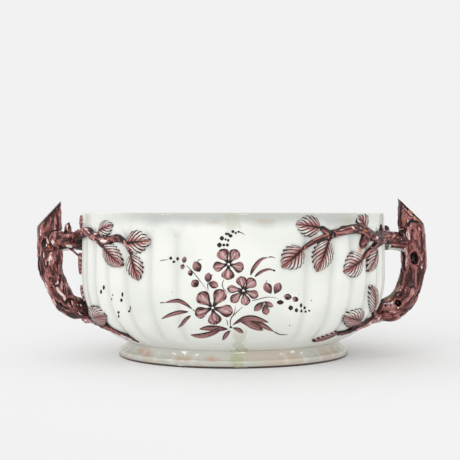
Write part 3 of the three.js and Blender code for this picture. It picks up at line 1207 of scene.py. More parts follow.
class Coat:
    """The colour on a skin, laid touch by touch, each over the ones before."""

    def __init__(self, count: int) -> None:
        """Starts with nothing laid on this many points.

        Args:
            count: How many points the skin has.
        """
        self.covers = {paint.cover: np.zeros(count) for paint in Paint}
        self.tone = np.zeros(count)
        self.relief = np.zeros(count)

    def lay(self, weight: np.ndarray, paint: Paint, stands: float = 1.0) -> None:
        """Lays one touch.

        Args:
            weight: How strongly it shows at each point.
            paint: What it lays.
            stands: How much of the paint's relief it has.
        """
        name, tone, relief = paint.value
        for cover in self.covers.values():
            cover *= 1 - weight
        self.covers[name] += weight
        self.tone += ((tone if name == "laid" else 0.0) - self.tone) * weight
        self.relief += (relief * stands - self.relief) * weight

    def store(self, piece: Piece) -> None:
        """Stores the colours at the vertices.

        Args:
            piece: The mesh object that the colours are on.
        """
        for name, cover in self.covers.items():
            note(piece, name, cover)
        note(piece, "shade", self.tone / np.maximum(self.covers["laid"], 0.001))


@dataclass
class Branchwork:
    """A handle or a twig: several limbs grown together and given bark."""

    limbs: list[Limb]
    touches: dict[Face, Touches]
    scars: list[Scar] = field(default_factory=list)
    seed: float = 0.0
    plane: float = PANEL_PLANE  # y of the plane its touches were read on
    voxel: float = 0.5
    lump: float = 0.6
    lump_size: float = 6.0
    grain: float = 0.45
    ridge: float = 0.05

    def body(self) -> Piece:
        """The limbs as one closed skin.

        Returns:
            The body, in place and still smooth.
        """
        piece = merged([limb.sweep() for limb in self.limbs])
        self.trim(piece)
        pick(piece)
        piece.data.remesh_voxel_size = self.voxel
        bpy.ops.object.voxel_remesh()
        with editing(piece):
            bpy.ops.mesh.vertices_smooth(factor=0.5, repeat=3)
        return piece

    def trim(self, piece: Piece) -> None:
        """Leaves the limbs whole; a handle cuts its top here."""

    def bark_places(self, points: np.ndarray) -> tuple[np.ndarray, np.ndarray]:
        """Where each point is on its branch.

        Args:
            points: One row for each point.

        Returns:
            Rows of two distances across the branch and one along it, and the branch's radius there.
        """
        trails = [limb.trail() for limb in self.limbs]
        names = ("centres", "radii", "along", "normals", "sides")
        centres, radii, *ways = (np.concatenate([getattr(trail, name) for trail in trails]) for name in names)
        apart, batch = 61.0, 20000
        starts = np.concatenate([trail.distances + apart * number for number, trail in enumerate(trails)])
        nearest = np.empty(len(points), dtype=int)
        for start in range(0, len(points), batch):
            part = points[start : start + batch, None, :] - centres[None]
            nearest[start : start + batch] = (np.linalg.norm(part, axis=2) / radii[None]).argmin(axis=1)
        away = points - centres[nearest]
        forward, cos, sin = ((away * way[nearest]).sum(axis=1) for way in ways)
        return np.stack([cos, sin, starts[nearest] + forward], axis=1), radii[nearest]

    def roughness(self, points: np.ndarray, bark: np.ndarray) -> np.ndarray:
        """How high the lumps and creases of the bark stand at each point.

        Args:
            points: One row for each point.
            bark: Where each is on its branch.

        Returns:
            One height for each.
        """
        height = np.empty(len(points))
        shift = self.seed * 17.3
        for number, (place, point) in enumerate(zip(bark, points)):
            across, over, along = place
            lump = noise.noise(Vector(point) / self.lump_size + Vector((shift, 0, 0)))
            crease = 1 - 2 * abs(noise.noise(Vector((across * 0.34, over * 0.34, along * 0.055 + shift))))
            fine = noise.noise(Vector((across * 0.8, over * 0.8, along * 0.16 + shift)))
            small = noise.noise(Vector(point) / (0.42 * self.lump_size) + Vector((0, shift, 0)))
            height[number] = self.lump * (lump + 0.55 * small) + self.grain * (crease - 0.45 + 0.3 * fine)
        return height

    def give_bark(self, piece: Piece) -> None:
        """Raises lumps, lengthwise ridges and scars on the skin, and stores where they are.

        Args:
            piece: The smooth body.
        """
        points, normals = points_of(piece), normals_of(piece)
        bark, radii = self.bark_places(points)
        angle = np.arctan2(bark[:, 1], bark[:, 0])
        ridge = self.ridge * radii * np.cos(5 * angle + 0.12 * bark[:, 2])
        height = self.roughness(points, bark) + 0.6 * ridge
        coat = Coat(len(points))
        push = self.cut_scars(points, normals, coat)
        for face, touches in self.touches.items():
            places, turned = self.seen(points, normals, face)
            for paint, strokes in touches.items():
                for stroke in strokes:
                    coat.lay(touch_weight(stroke, places) * turned, paint)
        calm = 1 - 0.6 * np.maximum.reduce(list(coat.covers.values()))
        placed = points + normals * (height * calm + coat.relief)[:, None] + push
        move_points(piece, placed)
        note(piece, "outline_and_shade", self.outline_and_shade(placed, normals))
        note(piece, "bark", bark + np.array([0, 0, self.seed * 31.7]))
        note(piece, "height", height)
        coat.store(piece)

    def cut_scars(self, points: np.ndarray, normals: np.ndarray, coat: Coat) -> np.ndarray:
        """Cuts the scars of lopped twigs and colours them.

        Args:
            points: One row for each point of the skin.
            normals: The way the skin faces at each.
            coat: The colour on the skin.

        Returns:
            How far each point moves.
        """
        push = np.zeros_like(points)
        for scar in self.scars:
            facing = np.array(scar.facing)
            away = points - np.array(scar.at)
            out = away @ facing
            flat = away - out[:, None] * facing
            up = flat[:, 2] / scar.height
            across = (flat @ np.array([-facing[1], facing[0], 0.0])) / scar.width
            angle = np.arctan2(up, across)
            uneven = 0.10 * np.sin(2 * angle + scar.at[2]) + 0.07 * np.sin(5 * angle + scar.at[0])
            ring = np.hypot(up, across) * (1 + uneven)
            near = (np.abs(out) < 1.6 * max(scar.width, scar.height)) & ((normals @ facing) > -0.2)
            bulge = 0.32 * np.exp(-(((ring - 1.0) / 0.24) ** 2)) - 0.6 * smoothstep(ring, 0.85, 0.2)
            push += np.where(near, bulge * min(scar.width, scar.height), 0.0)[:, None] * facing
            # painted highlight on the raised ring, and painted shade that makes the shallow hollow near black
            coat.lay(near * np.exp(-(((ring - 1.05) / 0.18) ** 2)) * 0.8, Paint.TINT, 0.0)
            coat.lay(near * smoothstep(ring, 0.86, 0.66), Paint.INK, 0.0)
        return push

    def seen(self, points: np.ndarray, normals: np.ndarray, face: Face) -> tuple[np.ndarray, np.ndarray]:
        """Where points are as the front is drawn, or the back when the bowl is turned by half.

        Args:
            points: One row for each point.
            normals: The way the skin faces at each.
            face: The side that is drawn.

        Returns:
            Rows of reach and height on the drawing's plane, and how far each point faces the viewer.
        """
        turned = np.array([1.0, 1.0, 1.0]) if face is Face.FRONT else np.array([-1.0, -1.0, 1.0])
        eye = np.array(CAMERA.place)
        ray = points * turned - eye
        share = (self.plane - eye[1]) / ray[:, 1]
        drawn = eye + ray * share[:, None]
        facing = -(normals * turned * unit(ray)).sum(axis=1)
        return np.stack([np.abs(drawn[:, 0]), drawn[:, 2]], axis=1), smoothstep(facing, -0.05, 0.2)

    def outline_and_shade(self, points: np.ndarray, normals: np.ndarray) -> np.ndarray:
        """1 on the flanks of what lies on the bowl, where the brush drew round it and painted shade darkens
        it against the wall.

        Args:
            points: One row for each point of the skin.
            normals: The way the skin faces at each.

        Returns:
            One share for each point.
        """
        _, radius = WALL.turn_and_radius(points)
        height = points[:, 2]
        flat = points[:, :2] / (1.0, WALL.oval**2)
        slope = WALL.radius_at(height - 1) - WALL.radius_at(height + 1)
        outward = unit(np.column_stack([flat, 0.5 * slope * np.linalg.norm(flat, axis=1)]))
        flank = smoothstep(-(normals * outward).sum(axis=1), -0.62, -0.3)
        near = smoothstep(-(radius - WALL.radius_at(height)), -7.0, -4.0)
        return flank * near * (height < WALL.rim_height)

    def seat(self, piece: Piece, depth: float = 2.2) -> None:
        """Keeps what is bedded in the wall from coming out inside the bowl.

        Args:
            piece: The body.
            depth: How deep in the wall it may reach.
        """
        points = points_of(piece)
        turn, radius = WALL.turn_and_radius(points)
        least = WALL.radius_at(points[:, 2]) - depth - WALL.groove_inset(turn, points[:, 2])
        inside = (radius < least) & (points[:, 2] < WALL.rim_height)
        scale = np.where(inside, least / np.maximum(radius, 1.0), 1.0)
        points[:, :2] *= scale[:, None]
        move_points(piece, points)


def on_wall(stations: Stations, around: float) -> Limb:
    """A twig on the wall.

    Args:
        stations: Each a turn, a height, a radius and, where it is lifted off the wall, a lift.
        around: Degrees to turn it round the bowl.

    Returns:
        The limb.
    """
    turn = np.array([station[0] for station in stations]) + around
    rise = WALL.rise_at(np.array([station[1] for station in stations]))
    radius = np.array([station[2] for station in stations])
    lift = np.array([station[3] if len(station) > 3 else 0.3 * station[2] for station in stations])
    return Limb(WALL.crown(turn, rise, lift), radius)


@dataclass(frozen=True)
class HandlePlan:
    """What was measured on one handle.

    A station is a reach from the middle, a height, a radius and a y. A knot is a reach, a height,
    a turn, a distance out, a radius and how tall it is for its width.
    """

    trunk: Stations
    arm: Stations
    thorns: Sequence[Stations]
    knots: Stations
    touches: Touches
    tip: tuple[float, float]
    shoulder: tuple[float, float]


LEFT_HANDLE_TOUCHES: Touches = {
    Paint.INK: (
        (0.9, 174.4, 148.6, 175.7, 147.7, 177.6, 145.7, 179.3, 144.1, 181.7, 140.8),
        (2.3, 171.6, 151, 172.6, 148), (1.3, 190.6, 97, 191.4, 92, 191, 86.5, 189.6, 81),
        (0.8, 173.4, 149.8, 172.6, 147.2),
        (0.75, 168, 124.6, 171.2, 123.9, 174.4, 123.6, 177, 122.9, 179.6, 121.6, 180.9, 119.4, 181.7, 116.8,
         181.8, 115.3), (0.8, 177.4, 116.5, 176.9, 116.1), (0.7, 171.5, 117.7, 169.9, 116.4),
        (0.7, 165.8, 113.8, 163.9, 113.8),
        (0.75, 180.7, 111.3, 179.1, 109.4, 177.3, 107.6, 176.2, 105.8, 175.7, 104.2),
        (1.5, 170.6, 107.6, 170.2, 106.2), (0.8, 161.6, 129.8, 161.2, 127.5, 162.2, 125.3),
        (0.9, 164.5, 122.9, 166.1, 121.3), (0.5, 158, 112.8, 156, 112),
        (0.8, 184.7, 115.2, 185.1, 112.6, 185.1, 110),
        (0.8, 188, 110, 187.7, 107.9, 186.8, 106.4, 185.1, 105.8, 183.4, 106.7),
        (0.75, 188.5, 101.8, 188.3, 98.3, 187.1, 94.4, 186.2, 91.1, 185.1, 88.3),
        (1, 182.4, 92.8, 182.8, 90, 184, 87.4), (0.6, 181.1, 101.8, 180.7, 103, 179.2, 103.4),
        (0.8, 180.4, 77.6, 180.5, 75.5), (1.1, 170.8, 79.5, 170.5, 75.9, 171.1, 72.3),
        (0.8, 167.9, 69, 167.7, 65.2, 166.3, 61.3), (0.5, 157.6, 64, 153.1, 61),
        (0.9, 163.5, 55.7, 161.4, 56.8, 159.3, 56.4, 157.9, 55.7),
        (0.9, 167.4, 54.3, 165.6, 52.9, 164.6, 51.8), (0.75, 161.1, 54.3, 160.4, 51.1, 159, 47.9),
        (0.8, 172.9, 52.2, 170.5, 51.1, 167, 49, 162.8, 46.9),
        (0.6, 174, 49.7, 170.5, 44.1, 167, 40.6, 163.9, 37), (0.8, 151, 39.3, 146.1, 37.5, 140.1, 35.1),
    ),
    Paint.SHADE: (
        (0.8, 190.2, 129.4, 191.3, 125.9), (1.7, 175.4, 144.2, 175.6, 141.6),
        (1.1, 177.7, 139.5, 177.3, 135.6, 177.7, 131.7),
        (1.1, 172.8, 138.8, 173.2, 134.3, 172.5, 129.1, 172.3, 126.6), (1.3, 182.5, 134.6, 184.4, 129.4),
        (0.8, 174.5, 128.4, 174.6, 126), (0.7, 175, 113.3, 174.4, 112.9), (0.5, 168.2, 110.7, 166.9, 111.3),
        (0.8, 162, 116.3, 161.2, 116), (0.5, 157.4, 118.9, 156.4, 117), (0.7, 188.5, 117.6, 188.7, 115),
        (1, 184.8, 103.5, 184.5, 99.5, 184.5, 96.2), (0.9, 173.5, 98.9, 173.2, 93.5, 173.2, 87.5),
        (0.6, 169.6, 91.1, 168.8, 85.7, 167.6, 81.9),
        (1, 180.9, 88.1, 179.4, 85.1, 177.9, 83.3, 175.9, 81.6), (0.8, 177.5, 76.8, 176.9, 75.6),
        (0.7, 179.1, 73.8, 177.1, 72.3, 174.7, 73.4, 174.1, 74.7), (0.6, 179.1, 70.5, 175, 69.6),
        (1.1, 179, 68, 178.4, 67.4), (0.7, 167.8, 75, 167, 71.5),
        (0.5, 163.9, 69.8, 161.8, 65.2, 160.7, 61.3), (0.5, 157.9, 59.4, 155.5, 56.8, 153.1, 55),
        (0.5, 152.4, 52.5, 152, 50.4, 153.8, 48.3, 155.5, 48.7), (0.7, 176.6, 61.6, 175.8, 59.9),
        (1.3, 163.5, 41.8, 160.7, 40.3), (0.7, 158, 39.4, 157.3, 36.4),
    ),
    Paint.TINT: (
        (2.2, 180.5, 143, 186, 135, 189, 128), (0.9, 179.4, 142.2, 179.8, 140.6),
        (0.8, 175.6, 135, 175.7, 130.4, 175.8, 127.4),
        (0.8, 179.3, 135, 179.6, 132.4, 181.2, 129.4, 182.5, 127.5),
        (1.3, 188.3, 128.3, 187.9, 125.9, 187, 122.3, 185.6, 122.8),
        (0.8, 178, 121.2, 179.6, 118.1, 180.9, 115.1),
        (0.6, 177, 120.3, 174.4, 121.3, 171.2, 122, 168.7, 121.6),
        (0.6, 179.3, 113.5, 176.4, 115.8, 173.8, 117.7),
        (0.5, 173.4, 119.4, 169.6, 119, 168, 117.7, 168.3, 115.1, 169.9, 114.2, 171.2, 114.5),
        (1.4, 172, 111.6, 171.4, 110.6), (0.9, 175.4, 109.8, 174.9, 108.2), (0.6, 167, 117.6, 163.6, 118.2),
        (0.8, 189.2, 109.5, 188.9, 103.4), (0.8, 179.4, 104.9, 178.4, 104.6),
        (1, 176.3, 102.4, 175.2, 101.8), (1.1, 178.4, 94, 179.4, 90.3),
        (1, 185.1, 80.4, 183.6, 76.8, 182.1, 73.2, 180.9, 68.4), (0.6, 180.9, 79, 178.2, 78.7, 177.1, 78.1),
        (0.8, 164.9, 67.3, 163.9, 63.5, 163.5, 58.5), (0.5, 161.4, 59.9, 158.6, 57.8, 155.8, 56.1),
        (0.5, 157, 51.1, 156, 51.1),
        (0.5, 178.9, 61, 176.4, 57.8, 174, 55.4, 169.8, 52.5, 167, 50.4, 162.1, 48.3),
    ),
    Paint.PALE: (
        (0.5, 172.1, 148.9, 172.1, 148.2), (0.45, 170.1, 124, 171.2, 122.3),
        (0.5, 179.1, 112.6, 178.3, 113.6, 177, 113.1, 176.9, 111.6, 178, 110.9, 179.1, 112),
        (0.7, 183.1, 114.8, 182.5, 112.7, 181.6, 111), (0.6, 159.6, 122.3), (0.6, 158.7, 120),
        (0.7, 157.8, 116.1, 157.5, 115.2), (0.8, 183.7, 109.7, 183.8, 108.6), (0.5, 184, 117, 184, 116.4),
        (0.6, 186.8, 101.6, 186.5, 97.1), (0.75, 179.3, 101.8), (0.5, 169.3, 103.1),
        (0.7, 173.4, 73.8, 172.4, 72.2, 175, 71.1),
        (1.4, 173.6, 67, 171.9, 63.5, 169.5, 61, 167, 59.2, 166.3, 57), (0.5, 163.3, 53.5),
        (0.5, 166.3, 55.2), (0.6, 159.3, 53.9, 158.6, 51.1), (0.4, 153.8, 51.2, 153.7, 50.2),
        (0.7, 150.7, 50.6, 150.4, 49.8),
        (0.55, 153.1, 43.4, 151, 40.9, 148.1, 39.7, 142.6, 37.2, 139.1, 35.6),
    ),
    Paint.OCHRE: (
        (0.9, 181.6, 108.2, 181.6, 107.4), (0.7, 163.2, 53, 163.2, 52.4),
    ),
    Paint.OLIVE: (
        (1.5, 157, 61.6, 153.4, 58.6, 152.6, 56),
    ),
    Paint.GLAZE: (
        (1.3, 163.8, 108.2, 160, 107.6), (0.8, 162.9, 70, 161.2, 67, 159.3, 64.5),
    ),
}

RIGHT_HANDLE_TOUCHES: Touches = {
    Paint.INK: (
        (1.1, 163.6, 154.3, 164, 152.6), (0.7, 166.4, 143.8, 166.3, 138.6, 165.9, 132.6),
        (0.7, 172.7, 141.2, 174.9, 138.6, 176.5, 136.7), (1.6, 178, 133.4, 175.7, 131.1, 174.4, 128.4),
        (1.5, 178, 132, 181, 131.9, 184, 131.1),
        (0.5, 174.6, 146, 180.2, 139.2, 183.2, 136.2, 187, 131.7, 188.9, 129.4),
        (0.9, 187.8, 121.4, 187.5, 115.5, 188.2, 109.9, 188.2, 106.5),
        (0.6, 162.1, 122, 165.1, 121.8, 167.4, 122.9, 170.4, 124, 173.4, 123.9),
        (1.4, 165.9, 120.3, 168.2, 118.1), (1, 165.5, 110.6, 165.4, 109.8), (0.8, 188.6, 105.5, 188.2, 100),
        (1.4, 169, 100.8, 169.8, 98.8), (1, 170, 98, 170, 92.1, 170.3, 86.8, 170.6, 83.4),
        (0.8, 184.3, 79.9, 184.2, 78.4), (1.2, 176.9, 66, 178.9, 66.7), (0.6, 188.5, 92.1, 188.5, 90.1),
        (0.7, 188.4, 81.6, 188.5, 80), (1.2, 166.7, 59, 166.7, 58.3), (0.9, 167.7, 52.9, 167.9, 52.2),
        (1.4, 151.5, 47.9), (0.6, 152.4, 40.9, 154.1, 41.4), (0.8, 166.2, 37.7, 168.8, 39.4),
        (0.6, 169.2, 35.8), (0.7, 183.4, 61.2, 185.4, 62.5), (0.9, 183.8, 57.4, 185, 58.9),
    ),
    Paint.SHADE: (
        (1.1, 164, 150.5, 164.4, 144.6, 165.4, 138.6, 165.4, 133.4, 164.8, 127.8),
        (1.1, 167.4, 149, 167.8, 146.4), (0.5, 170.6, 128.4, 172.2, 127), (0.9, 171.2, 145.7, 173.1, 143.4),
        (0.9, 185.5, 128.5, 186.3, 126.3), (1.1, 177.6, 122.9, 179.5, 121.8),
        (0.5, 150.8, 121.4, 154.6, 121.4, 158.3, 121.1), (0.5, 170.8, 121.1),
        (0.6, 177.2, 118.1, 179.5, 114.4, 181.4, 111.7), (1.2, 171.9, 112.9, 171, 112), (0.6, 155.7, 118.1),
        (0.6, 161, 119.2, 161.7, 118.1), (0.5, 159.8, 116.6, 161.4, 114.4, 163.6, 113.6),
        (1.2, 158, 107, 162.1, 105.8), (0.8, 186.3, 97.4, 186.3, 94.8),
        (0.9, 183.4, 87.7, 184.9, 86.6, 186.2, 85.1),
        (1.1, 176.1, 85.1, 177.1, 81.8, 176.1, 78.4, 175.4, 75.1, 176.7, 71.7),
        (0.9, 179.4, 73.6, 179.4, 71.9), (1.1, 168.6, 80, 167.9, 73.4, 166.6, 68.4),
        (0.8, 168.3, 63.8, 168.2, 62.8), (0.7, 166, 45.2, 165.8, 44.4), (0.7, 156.7, 49, 156.8, 47.8),
        (0.6, 153.2, 51.4, 156.7, 51.8, 158.9, 54.4), (0.8, 158.4, 36.9, 161, 38.6),
        (1.1, 170.1, 42.9, 173.2, 43.5, 175.3, 42.5), (0.7, 161.5, 32, 163.6, 32),
        (0.7, 138.5, 31.2, 147.2, 30.8, 153.7, 31.5),
    ),
    Paint.TINT: (
        (1.3, 168.2, 143.1, 169.3, 140.1, 168.4, 135.6, 169.7, 132.6), (1.1, 171.2, 137.5, 171.9, 135.2),
        (1.1, 170.8, 131.9, 169.8, 127.6), (1.8, 180.6, 119.5, 181, 115),
        (0.9, 175.7, 125.9, 177.6, 126.7, 180.2, 125.2, 181.7, 122.9, 184.4, 118.5, 184.8, 114.7, 185.5,
         107.3), (0.6, 161.8, 117, 164.6, 115.4), (0.9, 162.6, 108.2, 161.2, 108),
        (0.6, 178.4, 103, 181.5, 102.9, 183.8, 103.7, 185.3, 101.8),
        (0.5, 185, 92.4, 183.6, 89.4, 181.1, 88.2),
        (1.1, 178.1, 86.8, 181.1, 86.2, 182.1, 83.4, 182.1, 76.8, 182.1, 71.7, 182.1, 66.7),
        (0.5, 153.2, 49.9, 154.1, 47.8), (0.5, 167.1, 48, 169.3, 52.3, 172.3, 54.8, 174.5, 55.7),
        (0.6, 177, 51.8, 178.6, 53.5), (0.7, 149.8, 43.7, 155.8, 44.6, 159.7, 46.3),
        (0.6, 146.3, 38.2, 153.2, 39.4, 159.3, 42),
    ),
    Paint.PALE: (
        (0.5, 169.3, 149.4, 169.3, 146.6),
        (0.5, 170.4, 144.9, 172.3, 142.7, 174.6, 140.8, 176.1, 138.6, 178.4, 137.6),
        (0.6, 150, 122.8, 155.3, 123.2, 158.3, 122.4, 162.1, 123.4, 165.9, 123.8, 169.3, 124.5),
        (0.5, 169.7, 119.9, 170.6, 117.3), (0.8, 172.9, 121.4, 172.7, 118.8, 173.8, 116.6, 175.3, 114.4),
        (1.1, 151.9, 119.7, 153, 119.4), (0.7, 167.4, 114), (0.6, 178.3, 93.8, 179.1, 92.5),
        (0.6, 187.8, 87.1, 188.4, 85.1), (0.8, 166.7, 63.4), (0.5, 163.4, 58.4, 163.9, 59.1),
        (0.9, 164, 45.7), (0.6, 148.6, 50.4),
    ),
    Paint.OCHRE: (
        (0.8, 168.3, 133.8, 169.2, 131.6), (0.9, 175.3, 143.1, 176.5, 141.2, 177.6, 139.9),
        (0.6, 183.6, 134.2, 185.6, 131.9), (0.45, 168, 37.1, 171, 39.2), (0.7, 186.8, 61.9, 186.9, 61.2),
        (0.5, 134.2, 30.8, 139.4, 33.7, 142.9, 37.3, 146.3, 42),
    ),
    Paint.OLIVE: (
        (1.3, 148.5, 53.6, 153.2, 55.7, 157.6, 57.2, 160.2, 60.8, 162.2, 65), (0.6, 185.4, 60.1),
    ),
    Paint.GLAZE: (
        (2.9, 150, 108, 154, 106.8),
    ),
}

HANDLES = {
    End.LEFT: HandlePlan(
        trunk=(
            (181.5, 160, 10.5), (182, 140, 11.5), (182.3, 120, 12), (181.4, 99, 11.9), (181.3, 86, 11.8),
            (178, 75, 10.8), (172.6, 62, 10.2), (165.4, 51.5, 10.4), (157, 46.8, 11.4), (149.5, 44.4, 9.6),
            (143.5, 40.8, 6.2), (139, 37, 2.8),
        ),
        arm=((182, 112, 10.5), (168, 112.5, 9.6), (157, 112.5, 9), (147.5, 112.5, 9.6)),
        thorns=(
            ((164.2, 118, 4.4), (164.4, 125, 3.4), (163.6, 130.6, 1.2)),
            ((163, 108, 1.8, -6), (158.5, 103.6, 1.2, -7.5), (153, 98.5, 1.1, -9)),
        ),
        knots=(
            (186, 111.4, 0, 11.5, 2.6, 2.3),
            (188.5, 89, 62, 8.5, 3.2, 3.0),
            (163, 54, 0, 10.4, 3.0, 1.0),
            (154.6, 123.6, 8, 6.6, 4.2, 1.0),
            (170, 50.5, 30, 10.4, 2.0, 1.8),
        ),
        touches=LEFT_HANDLE_TOUCHES,
        tip=(171.3, 151.9),
        shoulder=(194.2, 127.6),
    ),
    End.RIGHT: HandlePlan(
        trunk=(
            (176.6, 166, 11), (179.2, 142, 12.6), (180.3, 127, 12.8), (182, 104, 12.4), (182.5, 91, 12.4),
            (181.2, 77, 12.2), (177.5, 65, 12), (170.5, 52, 12.6), (159, 43.6, 12.8), (149.5, 41, 11),
            (141.5, 37, 7.4), (135, 32.6, 3.4),
        ),
        arm=((182, 112, 10.4), (168, 112, 9.6), (157, 112.5, 9.4), (147.5, 112.5, 10)),
        thorns=(((155, 117, 4.4), (154.4, 123, 3.8), (154, 127, 2.4)),),
        knots=(
            (180.3, 95, 0, 11.8, 4.9, 1.6),
            (163.9, 50.3, 0, 11.8, 4.1, 1.0),
            (190, 89.4, 62, 8.0, 2.6, 3.2),
            (185.4, 59.4, 55, 8.6, 2.6, 1.8),
        ),
        touches=RIGHT_HANDLE_TOUCHES,
        tip=(165, 156.6),
        shoulder=(193.4, 129),
    ),
}


@dataclass
class BranchHandle(Branchwork):
    """A handle like the trunk of a small tree, lopped at the top, with an arm to the bowl."""

    plane: float = -11.0
    voxel: float = 0.6
    lump: float = 1.0
    lump_size: float = 11.0
    grain: float = 0.7
    end: End = End.LEFT
    tilt: float = 0.14  # how far the cut face is turned to the front
    hole_reach: float = 160.0
    hole_height: float = 82.0
    bare_height: float = 80.0

    @classmethod
    def at(cls, end: End) -> "BranchHandle":
        """The handle of one end, laid out from what was measured.

        Args:
            end: The end of the bowl.

        Returns:
            The handle, whose back repeats the other handle's front.
        """
        plan, back = HANDLES[end], HANDLES[end.other]
        limbs = [cls.limb_of(end.side, stations) for stations in (plan.trunk, plan.arm, *plan.thorns)]
        scars = []
        for away, knots in ((-1, plan.knots), (1, back.knots)):
            for reach, height, turn, out, radius, tall in knots:
                angle = math.radians(turn)
                facing = (end.side * math.sin(angle), away * math.cos(angle), 0.0)
                middle = (end.side * reach, facing[1] * out, height)
                scars.append(Scar(middle, facing, radius, radius * tall))
        touches = {Face.FRONT: plan.touches, Face.BACK: back.touches}
        return cls(limbs, touches, scars, seed=1.0 + list(End).index(end), end=end)

    @staticmethod
    def limb_of(side: int, stations: Stations) -> Limb:
        """A limb through stations given by reach, height, radius and y.

        Args:
            side: The sign of x at its end.
            stations: The stations.

        Returns:
            The limb.
        """
        places = [(side * one[0], one[3] if len(one) > 3 else 0.0, one[1]) for one in stations]
        return Limb(np.array(places, dtype=float), np.array([one[2] for one in stations], dtype=float))

    def cut_plane(self) -> tuple[np.ndarray, np.ndarray]:
        """A point on the slanted cut at the top, and the way it faces.

        Returns:
            The point, and a direction of length 1.
        """
        plan, side = HANDLES[self.end], self.end.side
        tip, shoulder = np.array(plan.tip), np.array(plan.shoulder)
        run = unit(shoulder - tip)
        middle = (tip + shoulder) / 2
        at = np.array([side * middle[0], 0.0, middle[1]])
        return at, unit(np.array([-side * run[1], -self.tilt, run[0]]))

    def trim(self, piece: Piece) -> None:
        """Cuts the top of the trunk off at a slant.

        Args:
            piece: The limbs, as one mesh.
        """
        at, away = self.cut_plane()
        with editing(piece):
            bpy.ops.mesh.bisect(plane_co=at, plane_no=away, use_fill=True, clear_outer=True)

    def build(self) -> Piece:
        """Grows the handle, gives it bark and marks what was left unpainted.

        Returns:
            The handle, with its colours stored at the vertices.
        """
        piece = self.body()
        at, away = self.cut_plane()
        points, normals = points_of(piece), normals_of(piece)
        from_cut = -((points - at) @ away)
        self.give_bark(piece)
        on_cut = smoothstep(from_cut, 1.4, 0.5) * smoothstep(normals @ away, 0.5, 0.8)
        bumped = points_of(piece)
        move_points(piece, bumped + (points - bumped) * on_cut[:, None] * 0.8)
        self.seat(piece)
        bare = self.facing_hole(points, normals)
        low = smoothstep(-points[:, 2], -72, -60)
        self.lay_over(piece, "bare", bare * (1 - 0.8 * low))
        self.lay_over(piece, "olive", bare * low)
        edge = smoothstep(from_cut, 2.2, 1.0) * smoothstep(normals @ away, 0.75, 0.35)
        self.lay_over(piece, "laid", np.maximum(edge, 0.7 * on_cut))
        shade = noted(piece, "shade")
        shade += (-0.25 - shade) * on_cut
        note(piece, "shade", shade + (-0.9 - shade) * edge)
        return piece

    def facing_hole(self, points: np.ndarray, normals: np.ndarray) -> np.ndarray:
        """1 on the inner flank above and below the hole, where the brush missed it.

        Args:
            points: One row for each point of the skin.
            normals: The way the skin faces at each.

        Returns:
            One share for each point.
        """
        reach = self.end.side * points[:, 0]
        height = points[:, 2]
        to_hole = unit(np.stack([self.hole_reach - reach, 0 * reach, self.hole_height - height], axis=1))
        facing = (normals * np.array([self.end.side, 1, 1]) * to_hole).sum(axis=1)
        off_middle = np.abs(height - self.bare_height)
        beside = smoothstep(off_middle, 38, 32) * smoothstep(off_middle, 12, 20)
        return smoothstep(facing, 0.78, 0.93) * beside

    @staticmethod
    def lay_over(piece: Piece, name: str, share: np.ndarray) -> None:
        """Adds to a stored colour wherever the share is larger."""
        note(piece, name, np.maximum(noted(piece, name), share))


# Leaves


@dataclass(frozen=True)
class LeafPlan:
    """A leaf on the wall: its stalk and its tip by turn and height, its width and its stand."""

    stalk: tuple[float, float]
    tip: tuple[float, float]
    width: float
    stand: float = 0.0


